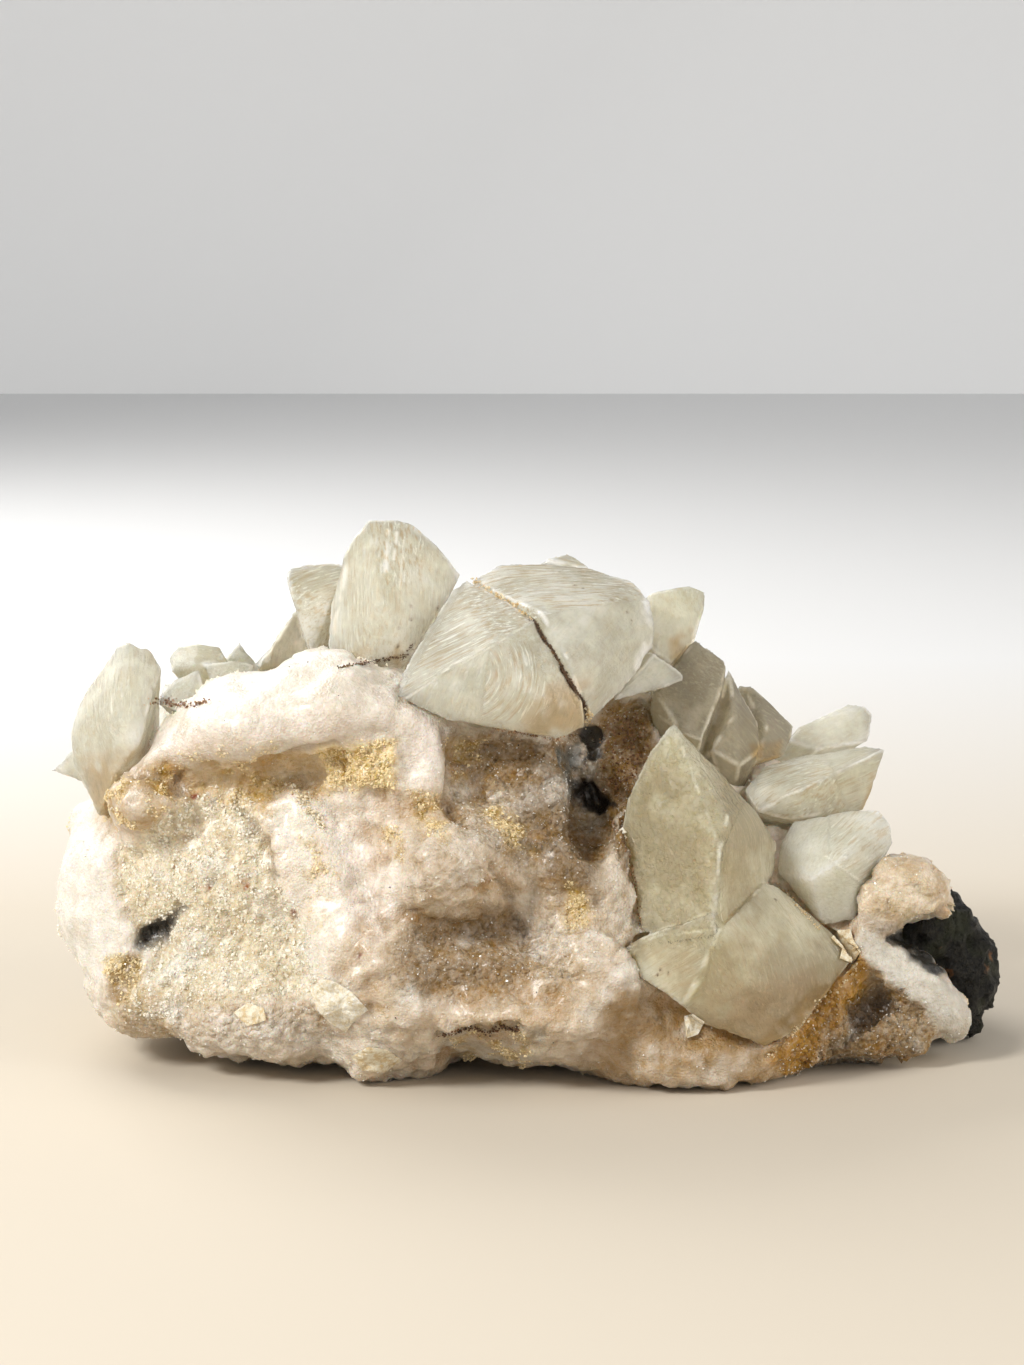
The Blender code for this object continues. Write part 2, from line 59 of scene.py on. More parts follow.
# Camera of the photograph.
PHOTO_WIDTH_PIXELS = 1024
PHOTO_HEIGHT_PIXELS = 1365
FOCAL_PIXELS = 3500
SENSOR_MM = 36
CAMERA_DISTANCE = 0.7
CAMERA_ELEVATION = math.radians(10)
AIM = Vector((-0.0024, -0.0035, 0.072))
VIEW_LINE = Vector((0, math.cos(CAMERA_ELEVATION), -math.sin(CAMERA_ELEVATION)))
VIEW_UP = Vector((0, math.sin(CAMERA_ELEVATION), math.cos(CAMERA_ELEVATION)))
CAMERA_PLACE = AIM - VIEW_LINE * CAMERA_DISTANCE

MERGE_DISTANCE = 1e-6
EDGE_SAMPLE = 0.5 * MM
FAR_AWAY = 1.0
LINE_STEP_PIXELS = 1.5
PIXEL = 0.2 * MM
NARROW_FADE = 10
# How outlines stray: by how many pixels, over what length, and how much of that the narrow ones do.
FINE_STRAY = 4.5
FINE_STRAY_SIZE = 3.5 * MM
BROAD_STRAY = 5
BROAD_STRAY_SIZE = 12 * MM
STRAY_SEEDS = (71, 72)
SLIGHT_STRAY = 0.3
FACING_RAMP = (-0.1, 0.15)


# Working with pieces.

def select_only(piece):
    bpy.ops.object.select_all(action="DESELECT")
    piece.select_set(True)
    bpy.context.view_layer.objects.active = piece


def new_object(name, data):
    item = bpy.data.objects.new(name, data)
    bpy.context.scene.collection.objects.link(item)
    return item


def edit_all(piece, operator, **settings):
    """Runs a mesh operator on the whole piece."""
    select_only(piece)
    bpy.ops.object.mode_set(mode="EDIT")
    bpy.ops.mesh.select_all(action="SELECT")
    operator(**settings)
    bpy.ops.object.mode_set(mode="OBJECT")


def copy_of_node(node, name):
    """A new piece with the mesh of a CAD node, its loose triangles merged."""
    piece = new_object(name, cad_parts[node].data.copy())
    piece.data.materials.clear()
    edit_all(piece, bpy.ops.mesh.remove_doubles, threshold=MERGE_DISTANCE)
    return piece


def apply_modifier(piece, kind, **settings):
    select_only(piece)
    modifier = piece.modifiers.new(kind.lower(), kind)
    for key, value in settings.items():
        setattr(modifier, key, value)
    bpy.ops.object.modifier_apply(modifier=modifier.name)


def points_of(piece):
    points = np.empty(len(piece.data.vertices) * 3, np.float32)
    piece.data.vertices.foreach_get("co", points)
    return points.reshape(-1, 3).astype(float)


def normals_of(piece):
    normals = np.empty(len(piece.data.vertices) * 3, np.float32)
    piece.data.vertex_normals.foreach_get("vector", normals)
    return normals.reshape(-1, 3).astype(float)


def set_points(piece, points):
    piece.data.vertices.foreach_set("co", points.astype(np.float32).ravel())
    piece.data.update()


def push_out(piece, heights):
    """Moves each vertex along its normal."""
    set_points(piece, points_of(piece) + normals_of(piece) * heights[:, None])


def keep_above_floor(piece):
    points = points_of(piece)
    points[:, 2] = np.maximum(points[:, 2], 0)
    set_points(piece, points)


def set_group(piece, name, weights):
    group = piece.vertex_groups.new(name=name)
    for index in np.nonzero(weights > 0)[0]:
        group.add([int(index)], float(weights[index]), "REPLACE")


def set_mark(piece, name, values):
    """Keeps a value on each vertex, for a material to read."""
    kept = piece.data.attributes.new(name, "FLOAT", "POINT")
    kept.data.foreach_set("value", values.astype(np.float32))


def set_place_mark(piece, name, places):
    """Keeps a place on each vertex, for a pattern that follows the piece."""
    kept = piece.data.attributes.new(name, "FLOAT_VECTOR", "POINT")
    kept.data.foreach_set("vector", places.astype(np.float32).ravel())


def set_tint(piece, colours):
    """Keeps a colour on each vertex."""
    kept = piece.data.attributes.new("tint", "FLOAT_COLOR", "POINT")
    kept.data.foreach_set("color", np.insert(colours, 3, 1, axis=1).astype(np.float32).ravel())


def shade_smooth(piece):
    select_only(piece)
    bpy.ops.object.shade_smooth()


def tree_of(piece):
    graph = bpy.context.evaluated_depsgraph_get()
    return BVHTree.FromObject(piece, graph)


# Noise on points.

HASH_PRIMES = (73856093, 19349663, 83492791)
HASH_SEED_PRIME = 668265263
HASH_MIX_PRIME = 1274126177
HASH_SHIFTS = (13, 16)
HASH_RANGE = 65536
OCTAVE_SHIFT = 0.37
SLOPE_SEED = 11
BEYOND_CELLS = 9.0


def hashed(cells, seed):
    """A value from -1 to 1 for each cell of a lattice."""
    mixed = sum(cells[:, axis] * prime for axis, prime in enumerate(HASH_PRIMES)) + seed * HASH_SEED_PRIME
    mixed = (mixed ^ (mixed >> HASH_SHIFTS[0])) * HASH_MIX_PRIME
    mixed = mixed ^ (mixed >> HASH_SHIFTS[1])
    return (mixed % HASH_RANGE) / HASH_RANGE * 2 - 1


def hashed_vectors(cells, seed):
    return np.stack([hashed(cells, seed + axis) for axis in range(3)], axis=1)


def swells(points, size, seed, octaves=1):
    """Smooth noise from about -1 to 1, whose swells are about size across."""
    total = np.zeros(len(points))
    strength = 1.0
    for octave in range(octaves):
        grid = points / size * 2 ** octave + OCTAVE_SHIFT * seed
        cell = np.floor(grid).astype(np.int64)
        part = grid - cell
        part = part * part * (3 - 2 * part)
        for corner in itertools.product((0, 1), repeat=3):
            weight = np.prod(np.where(corner, part, 1 - part), axis=1)
            total += strength * weight * hashed(cell + np.array(corner), seed + octave)
        strength /= 2
    return total


def round_cells(points, size, seed):
    """Each lattice cell round the points, with their offset and distance from its scattered centre."""
    grid = points / size
    home = np.floor(grid).astype(np.int64)
    for step in itertools.product((-1, 0, 1), repeat=3):
        cell = home + np.array(step)
        offset = grid - (cell + 0.5 + 0.5 * hashed_vectors(cell, seed))
        yield cell, offset, np.linalg.norm(offset, axis=1)


def knobs(points, size, seed):
    """Distances from each point to the nearest two of the scattered knob centres, in spacings."""
    nearest = np.full(len(points), BEYOND_CELLS)
    second = nearest
    for _, _, distance in round_cells(points, size, seed):
        second = np.minimum(second, np.maximum(nearest, distance))
        nearest = np.minimum(nearest, distance)
    return nearest, second


def chips(points, size, seed):
    """Heights of flat facets tilted every way, about size across, as on broken rock."""
    nearest = np.full(len(points), BEYOND_CELLS)
    height = np.zeros(len(points))
    for cell, offset, distance in round_cells(points, size, seed):
        slope = hashed_vectors(cell, seed + SLOPE_SEED)
        height = np.where(distance < nearest, np.sum(offset * slope, axis=1), height)
        nearest = np.minimum(nearest, distance)
    return height


def step_up(values, low, high):
    """0 below low, 1 above high, and a smooth rise between."""
    share = np.clip((values - low) / (high - low), 0, 1)
    return share * share * (3 - 2 * share)


# Places read from the photograph.

def photo_pixels(points):
    """Where points of the specimen appear in the photograph."""
    offset = points - np.array(CAMERA_PLACE)
    depth = offset @ np.array(VIEW_LINE)
    across = PHOTO_WIDTH_PIXELS / 2 + offset[:, 0] / depth * FOCAL_PIXELS
    down = PHOTO_HEIGHT_PIXELS / 2 - offset @ np.array(VIEW_UP) / depth * FOCAL_PIXELS
    return np.stack([across, down], axis=1)


def wandering_pixels(points):
    """Pixels of the points with a natural wander, wide and then slight, so that outlines aren't straight."""
    pixels = photo_pixels(points)
    fine = [FINE_STRAY * swells(points, FINE_STRAY_SIZE, seed, 3) for seed in STRAY_SEEDS]
    broad = [BROAD_STRAY * swells(points, BROAD_STRAY_SIZE, seed, 2) for seed in STRAY_SEEDS]
    stray = np.stack(fine, axis=1) + np.stack(broad, axis=1)
    return pixels + stray, pixels + SLIGHT_STRAY * stray


def roughly_inside(outline, pixel_pair, fade):
    """The share inside an outline whose line wanders, slightly where its fade is narrow."""
    wide, slight = pixel_pair
    return inside(outline, slight if fade < NARROW_FADE else wide, fade)


def covered(outlines, pixel_pair):
    """The largest share inside any of the outlines, each with the fade of its line."""
    return np.max([roughly_inside(outline, pixel_pair, fade) for outline, fade in outlines], axis=0)


def touch(pixel, trees):
    """Place on the first surface under a pixel of the photograph, or None."""
    across = (pixel[0] - PHOTO_WIDTH_PIXELS / 2) / FOCAL_PIXELS
    up = (PHOTO_HEIGHT_PIXELS / 2 - pixel[1]) / FOCAL_PIXELS
    ray = (VIEW_LINE + Vector((1, 0, 0)) * across + VIEW_UP * up).normalized()
    hits = [tree.ray_cast(CAMERA_PLACE, ray) for tree in trees]
    hits = [hit for hit in hits if hit[0] is not None]
    return min(hits, key=lambda hit: hit[3])[0] if hits else None


def touched(pixels, trees):
    """The places under those pixels that lie on a surface."""
    return [place for place in (touch(pixel, trees) for pixel in pixels) if place is not None]


def cad_tree(node):
    """Ray caster of a CAD node."""
    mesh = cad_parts[node].data
    return BVHTree.FromPolygons([v.co for v in mesh.vertices], [f.vertices for f in mesh.polygons])


def line_on(path, trees):
    """Closely spaced places on the first surfaces under a line drawn in pixels."""
    pixels = []
    for start, end in zip(path, path[1:]):
        count = max(1, round(math.dist(start, end) / LINE_STEP_PIXELS))
        for share in (step / count for step in range(count)):
            pixels.append((start[0] + (end[0] - start[0]) * share, start[1] + (end[1] - start[1]) * share))
    return touched(pixels, trees)


def inside(outline, pixels, fade):
    """1 inside an outline drawn in pixels and 0 outside it, with a fade of some pixels across its line."""
    distance = np.full(len(pixels), np.inf)
    within = np.zeros(len(pixels), bool)
    for start, end in zip(outline, outline[1:] + outline[:1]):
        start, end = np.array(start, float), np.array(end, float)
        along = end - start
        share = np.clip((pixels - start) @ along / (along @ along), 0, 1)
        distance = np.minimum(distance, np.linalg.norm(pixels - start - share[:, None] * along, axis=1))
        crosses = (start[1] > pixels[:, 1]) != (end[1] > pixels[:, 1])
        fall = along[1] if along[1] else 1
        within ^= crosses & (pixels[:, 0] < start[0] + (pixels[:, 1] - start[1]) * along[0] / fall)
    return step_up(np.where(within, distance, -distance), -fade / 2, fade / 2)


def facing(normals):
    """1 where the surface looks at the camera and 0 where it looks away."""
    return step_up(-(normals @ np.array(VIEW_LINE)), *FACING_RAMP)


# Materials.

def add_node(tree, kind, settings=None, inputs=None):
    item = tree.nodes.new(kind)
    for key, value in (settings or {}).items():
        setattr(item, key, value)
    for key, value in (inputs or {}).items():
        if isinstance(value, bpy.types.NodeSocket):
            tree.links.new(value, item.inputs[key])
        else:
            item.inputs[key].default_value = value
    return item


def socket_of(shader, key):
    return shader.inputs[key.replace("_", " ").title().replace("Ior", "IOR")]


def new_material(name, **values):
    """A material with some of its shader's sockets set, its node tree and its shader."""
    material = bpy.data.materials.new(name)
    material.use_nodes = True
    shader = material.node_tree.nodes["Principled BSDF"]
    for key, value in values.items():
        socket_of(shader, key).default_value = value
    return material, material.node_tree, shader


def feed(tree, shader, **outputs):
    """Links patterns to the shader's sockets."""
    for key, output in outputs.items():
        tree.links.new(output, socket_of(shader, key))


def object_place(tree):
    return add_node(tree, "ShaderNodeTexCoord").outputs["Object"]


def cloud(tree, place, size, detail=3, roughness=0.5):
    """Noise with clouds of about that size."""
    return add_node(tree, "ShaderNodeTexNoise", inputs={
        "Vector": place, "Scale": 1 / size, "Detail": detail, "Roughness": roughness,
    }).outputs["Fac"]


def rise(tree, value, low, high, to_low=0.0, to_high=1.0):
    """Maps low..high to another range, with its ends held."""
    return add_node(tree, "ShaderNodeMapRange", inputs={
        "Value": value, "From Min": low, "From Max": high, "To Min": to_low, "To Max": to_high,
    }).outputs["Result"]


def combined(tree, first, second, operation="ADD"):
    """Two values added, or combined by another operation."""
    return add_node(tree, "ShaderNodeMath", {"operation": operation}, {0: first, 1: second}).outputs["Value"]


def blend(tree, share, first, second):
    """Colour between two colours or colour outputs."""
    item = add_node(tree, "ShaderNodeMix", {"data_type": "RGBA"}, {"Factor": share})
    colours = [socket for socket in item.inputs if socket.type == "RGBA"]
    for socket, value in zip(colours, (first, second)):
        if isinstance(value, bpy.types.NodeSocket):
            tree.links.new(value, socket)
        else:
            socket.default_value = (*value, 1)
    return next(socket for socket in item.outputs if socket.type == "RGBA")


def mark(tree, name, output="Fac"):
    """What a piece keeps on its vertices under that name."""
    return add_node(tree, "ShaderNodeAttribute", {"attribute_name": name}).outputs[output]


def bumps(tree, height, depth, strength=1.0, under=None):
    """Normal of a surface with small bumps of that depth, over those of another bump."""
    inputs = {"Height": height, "Distance": depth, "Strength": strength}
    if under:
        inputs["Normal"] = under
    return add_node(tree, "ShaderNodeBump", inputs=inputs).outputs["Normal"]


def varied(tree, colour, value, dull, bright):
    """The colour with its brightness following a noise."""
    return add_node(tree, "ShaderNodeHueSaturation", inputs={
        "Color": colour, "Value": rise(tree, value, 0.3, 0.7, dull, bright),
        "Saturation": rise(tree, value, 0.3, 0.7, 1.25, 0.85),
    }).outputs["Color"]


MILK = (0.88, 0.85, 0.79)
PIT_BROWN = (0.58, 0.42, 0.23)
PIT_VALUE = 0.6
PIT_SATURATION = 1.4
# Painted shade: near-black laid into the voids and the slot's core.
HOLE_SHADE_BLACK = (0.02, 0.015, 0.01)
HONEY = (0.60, 0.43, 0.20)
RUSTY_BLACK = (0.07, 0.03, 0.012)


def domes(tree, place, size):
    """Heights of packed round grains of about that size."""
    cells = add_node(tree, "ShaderNodeTexVoronoi", inputs={"Vector": place, "Scale": 1 / size})
    return rise(tree, cells.outputs["Distance"], 0, 0.65, 1, 0)


def chalcedony_material():
    """Milky, waxy silica, with a crumbly skin of fine crystals where it is marked drusy."""
    material, tree, shader = new_material(
        "chalcedony", subsurface_weight=0.6, subsurface_radius=(1.0, 0.62, 0.36), subsurface_scale=0.0016,
        coat_weight=0.35, coat_roughness=0.22,
    )
    place = object_place(tree)
    drusy = mark(tree, "drusy")
    fine = cloud(tree, place, 0.004, detail=5, roughness=0.6)
    grit = cloud(tree, place, 0.0011, detail=4, roughness=0.7)
    colour = varied(tree, mark(tree, "tint", "Color"), fine, 0.84, 1.08)
    colour = varied(tree, colour, grit, 0.9, 1.05)
    pits = rise(tree, cloud(tree, place, 0.0014), 0.46, 0.34, 0, 0.8)
    pits = combined(tree, pits, drusy, "MULTIPLY")
    stained = add_node(tree, "ShaderNodeHueSaturation", inputs={
        "Color": colour, "Value": PIT_VALUE, "Saturation": PIT_SATURATION,
    }).outputs["Color"]
    colour = blend(tree, drusy, colour, varied(tree, colour, grit, 0.8, 1.15))
    colour = blend(tree, pits, colour, stained)
    feed(tree, shader, base_color=colour)
    feed(tree, shader, roughness=rise(tree, combined(tree, fine, drusy), 0.3, 1.5, 0.26, 0.6))
    skin = bumps(tree, cloud(tree, place, 0.003, detail=7, roughness=0.58), 0.0006)
    crumbly = bumps(tree, domes(tree, place, 0.0013), 0.0011, drusy, skin)
    feed(tree, shader, normal=bumps(tree, domes(tree, place, 0.0005), 0.00016, 0.9, crumbly))
    return material


def grain_material(name, roughness):
    """Small crystals and crumbs, each with its own tint."""
    material, tree, shader = new_material(
        name, roughness=roughness,
        subsurface_weight=0.15, subsurface_radius=(1.0, 0.8, 0.6), subsurface_scale=0.001,
    )
    feed(tree, shader, base_color=mark(tree, "tint", "Color"))
    return material


STRIA_SHADE = (0.73, 0.65, 0.54)
OPAQUE_SHARE = 0.25


def calcite_material(name, colour, veil_colour, clear, density):
    """Frosted calcite: see-through under a striated skin, with milky clouds, veils, and white edges that are
    worn and carry painted highlight.
    """
    material, tree, shader = new_material(
        name, ior=1.55, subsurface_weight=1.0, subsurface_radius=(1.0, 0.95, 0.85), subsurface_scale=0.0045,
    )
    place = object_place(tree)
    striae = mark(tree, "striae", "Vector")
    lines = cloud(tree, striae, 0.0006, detail=4, roughness=0.6)
    streaky = mark(tree, "streaky")
    clouds = rise(tree, cloud(tree, place, 0.014, detail=5, roughness=0.6), 0.45, 0.68, 0, 0.55)
    frost = rise(tree, cloud(tree, place, 0.0028, detail=6, roughness=0.72), 0.52, 0.72, 0, 0.3)
    frost = combined(tree, frost, mark(tree, "scaly"), "SUBTRACT")
    wisps = rise(tree, cloud(tree, striae, 0.0016, detail=5, roughness=0.65), 0.55, 0.68, 0, 0.6)
    veils = combined(tree, clouds, combined(tree, wisps, mark(tree, "veil"), "MULTIPLY"), "MAXIMUM")
    veils = combined(tree, combined(tree, veils, frost, "MAXIMUM"), mark(tree, "edge"), "MAXIMUM")
    shade = tuple(value * share for value, share in zip(colour, STRIA_SHADE))
    dark_lines = combined(tree, rise(tree, lines, 0.48, 0.38, 0, 0.9), streaky, "MULTIPLY")
    pale_lines = combined(tree, rise(tree, lines, 0.55, 0.64, 0, 0.6), streaky, "MULTIPLY")
    skin_colour = blend(tree, veils, colour, veil_colour)
    skin_colour = blend(tree, dark_lines, skin_colour, shade)
    skin_colour = blend(tree, pale_lines, skin_colour, veil_colour)
    skin_colour = blend(tree, mark(tree, "stain"), skin_colour, HONEY)
    skin_colour = blend(tree, mark(tree, "soot"), skin_colour, RUSTY_BLACK)
    feed(tree, shader, base_color=skin_colour)
    opaque = combined(tree, combined(tree, veils, pale_lines, "MAXIMUM"), mark(tree, "soot"), "MAXIMUM")
    see_through = rise(tree, opaque, 0, 1, clear, clear * OPAQUE_SHARE)
    feed(tree, shader, transmission_weight=see_through)
    feed(tree, shader, roughness=rise(tree, cloud(tree, place, 0.005), 0.3, 0.7, 0.1, 0.24))
    scales = rise(tree, cloud(tree, place, 0.0016, detail=2), 0.42, 0.58)
    scaly = bumps(tree, scales, 0.0007, mark(tree, "scaly"), bumps(tree, lines, 0.0005))
    grained = bumps(tree, cloud(tree, place, 0.0006, detail=4), 0.00012, 1.0, scaly)
    feed(tree, shader, normal=grained)
    absorption = add_node(tree, "ShaderNodeVolumeAbsorption")
    absorption.inputs["Color"].default_value = (*colour, 1)
    absorption.inputs["Density"].default_value = density
    tree.links.new(absorption.outputs["Volume"], tree.nodes["Material Output"].inputs["Volume"])
    return material


BASALT_BLACK = (0.003, 0.003, 0.002)
BASALT_GREY = (0.03, 0.027, 0.018)
BASALT_GREEN = (0.035, 0.04, 0.016)
BASALT_RUST = (0.25, 0.12, 0.05)


def basalt_material():
    """Dark, gritty basalt with green and rusty spots."""
    material, tree, shader = new_material("basalt", roughness=0.42, specular_ior_level=0.4)
    place = object_place(tree)
    grit = cloud(tree, place, 0.0015, detail=5, roughness=0.7)
    green = rise(tree, cloud(tree, place, 0.009, detail=4), 0.52, 0.62, 0, 0.6)
    rusty = rise(tree, cloud(tree, place, 0.006, detail=5), 0.62, 0.7)
    colour = blend(tree, rise(tree, grit, 0.45, 0.7), BASALT_BLACK, BASALT_GREY)
    colour = blend(tree, rusty, blend(tree, green, colour, BASALT_GREEN), BASALT_RUST)
    feed(tree, shader, base_color=colour)
    feed(tree, shader, normal=bumps(tree, grit, 0.0022))
    return material


def flake_material(name, dark, pale):
    """Thin calcite, glossy and mottled."""
    material, tree, shader = new_material(
        name, roughness=0.5,
        subsurface_weight=0.3, subsurface_radius=(1.0, 0.85, 0.6), subsurface_scale=0.001,
    )
    place = object_place(tree)
    mottle = rise(tree, cloud(tree, place, 0.0012, detail=4, roughness=0.7), 0.4, 0.6)
    feed(tree, shader, base_color=blend(tree, mottle, dark, pale))
    feed(tree, shader, normal=bumps(tree, cloud(tree, place, 0.0008, detail=4), 0.0005))
    return material


# Crystals.

def sharp_edge_points(piece, angle):
    """Points along the edges where faces meet at more than that angle."""
    mesh = piece.data
    faces_at = {}
    for face in mesh.polygons:
        for key in face.edge_keys:
            faces_at.setdefault(key, []).append(face.normal)
    points = []
    for (one, other), normals in faces_at.items():
        if len(normals) == 2 and normals[0].angle(normals[1], 0) > angle:
            start, end = mesh.vertices[one].co, mesh.vertices[other].co
            count = max(1, int((end - start).length / EDGE_SAMPLE))
            points += [start.lerp(end, step / count) for step in range(count + 1)]
    return points


def distance_to(points, targets):
    """Distance of each point to the nearest target, or a far one where there is none."""
    if not targets:
        return np.full(len(points), FAR_AWAY)
    tree = KDTree(len(targets))
    for index, target in enumerate(targets):
        tree.insert(target, index)
    tree.balance()
    return np.array([tree.find(point)[2] for point in points])


def long_axis(points):
    """Direction in which the points spread furthest."""
    return np.linalg.eigh(np.cov((points - points.mean(axis=0)).T))[1][:, -1]


def drawn_out(points, axis, length):
    """Points squeezed along an axis, so that noise on them runs that many times longer that way."""
    return points - np.outer(points @ axis, axis) * (1 - 1 / length)


def striae_of(node, points, pixels, axis, tree):
    """Places that the striae of each face follow, and how strongly they show."""
    striae = drawn_out(points, axis, STRIA_LENGTH)
    streaky = np.full(len(points), STREAKY_AT_REST)
    for outline, line, strength in STRIAE.get(node, ()):
        share = inside(outline, pixels, 6)
        there = share > 0.5
        if len(line) == 1:
            offset = (pixels[there] - np.array(line[0])) * PIXEL
            radius = np.linalg.norm(offset, axis=1)
            arc = np.arctan2(offset[:, 1], offset[:, 0]) * radius / STRIA_LENGTH
            striae[there] = np.stack([radius, arc, np.zeros(len(radius))], axis=1)
        else:
            run = line_on(line, [tree])
            striae[there] = drawn_out(points[there], np.array((run[-1] - run[0]).normalized()), STRIA_LENGTH)
        streaky += (strength - streaky) * share
    return striae, streaky


EDGE_HOLD = (0.3 * MM, 2.5 * MM)
RIPPLE_SIZE = 1.3 * MM
WAVE_HEIGHT = 0.25 * MM
WAVE_SIZE = 8 * MM
SCALE_HEIGHT = 0.2 * MM
SCALE_SIZE = 1.5 * MM
SCALE_FADE_PIXELS = 14
SCALY_AT_REST = 0.08
SEAM_DEPTH = 0.35 * MM
SEAM_WIDTH = (0.2 * MM, 0.7 * MM)
SEAM_RAG = 0.15 * MM
SEAM_DARK_FROM = 618
EDGE_WIDTH = 1.0 * MM
NICK_SIZE = 1.6 * MM
VEIL_LENGTH = 6
RIM_CORE = 0.1 * MM
SPECK_WIDTH = (0.1 * MM, 0.45 * MM)


def crystal(node, look, material, seed):
    """A crystal with its faces curved and striated and its edges nicked, from the CAD node's flat faces."""
    piece = copy_of_node(node, node + "_face")
    edges = sharp_edge_points(piece, math.radians(look["sharp"]))
    apply_modifier(piece, "REMESH", mode="VOXEL", voxel_size=look["cell"] * MM)
    apply_modifier(piece, "SMOOTH", factor=0.5, iterations=2)
    far = distance_to(points_of(piece), edges)
    set_group(piece, "faces", step_up(far, *EDGE_HOLD))
    apply_modifier(piece, "SMOOTH", factor=0.5, iterations=look["rounding"], vertex_group="faces")
    points = points_of(piece)
    axis = long_axis(points)
    pixels = photo_pixels(points)
    tree = cad_tree(node)
    striae, streaky = striae_of(node, points, pixels, axis, tree)
    relief = look["ripple"] * MM * (0.4 + streaky) * swells(striae, RIPPLE_SIZE, seed, 3)
    relief += WAVE_HEIGHT * swells(points, WAVE_SIZE, seed + 5, 2)
    scaly = inside(SCALES[node], pixels, SCALE_FADE_PIXELS) if node in SCALES else np.zeros(len(points))
    relief += SCALE_HEIGHT * scaly * swells(points, SCALE_SIZE, seed + 3, 2)
    groove = np.zeros(len(points))
    if node in SEAMS:
        ragged = SEAM_RAG * swells(points, 1.5 * MM, seed + 31, 2)
        groove = 1 - step_up(distance_to(points, line_on(SEAMS[node], [tree])) + ragged, *SEAM_WIDTH)
    relief -= SEAM_DEPTH * groove
    near_edge = 1 - step_up(far, 0, EDGE_WIDTH)
    nicks = -look["chip"] * MM * step_up(swells(points, NICK_SIZE, seed + 9, 2), 0.1, 0.6) * near_edge
    push_out(piece, relief + nicks)
    veil = step_up(swells(drawn_out(points, axis, VEIL_LENGTH), 1.5 * MM, seed + 13, 3), 0.35, 0.9)
    veil *= step_up(swells(points, 10 * MM, seed + 17, 2), -0.1, 0.5)
    set_place_mark(piece, "striae", striae)
    set_mark(piece, "veil", veil)
    set_mark(piece, "streaky", streaky * (1 - 0.8 * scaly))
    set_mark(piece, "scaly", np.maximum(scaly, SCALY_AT_REST))
    # White along the edges: worn chips, with painted highlight; the rims add a painted glow where light
    # shines through.
    edge = near_edge * step_up(swells(points, 3 * MM, seed + 19, 2), -0.5, 0.4)
    for path, width, strength in WHITE_RIMS_AND_PAINTED_GLOW.get(node, ()):
        rim = strength * (1 - step_up(distance_to(points, line_on(path, [tree])), RIM_CORE, width * MM))
        edge = np.maximum(edge, rim * step_up(swells(points, 4 * MM, seed + 27, 3), -0.8, 0.3))
    set_mark(piece, "edge", edge)
    stain = sum(inside(outline, pixels, fade) * share for outline, fade, share in STAINS.get(node, ()))
    set_mark(piece, "stain", np.minimum(stain * step_up(swells(points, 4 * MM, seed + 23, 3), -0.9, 0.3), 1))
    specks = 1 - step_up(distance_to(points, touched(SPECKS.get(node, ()), [tree])), *SPECK_WIDTH)
    set_mark(piece, "soot", np.maximum(groove * (pixels[:, 1] > SEAM_DARK_FROM), specks))
    shade_smooth(piece)
    piece.data.materials.append(material)
    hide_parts(node)
    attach(piece, "root")
    return piece


# The chalcedony mass.

SUGAR_OUTLINE = [
    (180, 800), (250, 795), (262, 830), (275, 880), (300, 920), (330, 1000), (300, 1003), (240, 1000),
    (180, 1015), (150, 1030), (125, 1000), (150, 950), (115, 900), (118, 850), (150, 835),
]
GOLD_OUTLINES = [
    ([(318, 742), (402, 738), (398, 792), (335, 792)], 14),
    ([(410, 790), (445, 795), (446, 840), (420, 830)], 14),
    ([(372, 818), (400, 828), (402, 862), (392, 862)], 12),
    ([(480, 800), (515, 812), (535, 850), (500, 840)], 16),
    ([(100, 955), (140, 950), (130, 995), (112, 1000)], 10),
    ([(570, 880), (590, 890), (585, 930), (562, 935)], 16),
]
PALE_GOLD_OUTLINES = [
    ([(150, 770), (200, 745), (330, 745), (335, 790), (262, 820), (180, 795)], 30),
    ([(100, 785), (180, 770), (190, 800), (160, 835), (110, 835)], 24),
    ([(300, 840), (340, 850), (350, 940), (310, 930)], 30),
    ([(440, 1030), (520, 1020), (540, 1062), (470, 1068)], 20),
    ([(450, 740), (490, 735), (490, 790), (460, 780)], 20),
]
# Where fine crystals coat the mass: the outline, the fade of its line and how much.
DRUSY_OUTLINES = [
    ([(455, 728), (600, 730), (610, 850), (520, 870), (450, 830)], 30, 0.9),
    ([(395, 925), (575, 915), (580, 990), (395, 1000)], 40, 0.8),
    ([(600, 700), (665, 700), (645, 790), (628, 860), (598, 830)], 12, 1.0),
    ([(800, 985), (905, 985), (940, 1035), (930, 1075), (780, 1080)], 14, 1.0),
    ([(120, 1000), (340, 1000), (340, 1050), (120, 1050)], 40, 0.7),
    ([(400, 840), (510, 830), (520, 880), (485, 915), (410, 915)], 40, 0.4),
    ([(520, 850), (600, 850), (600, 960), (540, 960)], 40, 0.5),
    ([(860, 855), (955, 885), (950, 930), (880, 935)], 20, 0.4),
]
DRUSY_AT_REST = 0.14

HIGH_VOID = [(580, 733), (590, 727), (601, 736), (597, 747), (604, 757), (594, 765), (582, 759), (586, 746)]
LOW_VOID = [(572, 782), (584, 776), (597, 780), (601, 792), (613, 804), (598, 812), (583, 806), (577, 796)]
SLAB = [(862, 925), (900, 950), (940, 975), (965, 1000), (985, 1030), (972, 1048), (950, 1040), (925, 1010),
        (895, 985), (870, 965), (850, 945)]
SLOT = [(184, 903), (188, 908), (166, 932), (140, 950), (132, 945), (152, 925)]
SLOT_CORE = [(172, 914), (176, 920), (158, 934), (146, 940), (144, 934), (158, 922)]
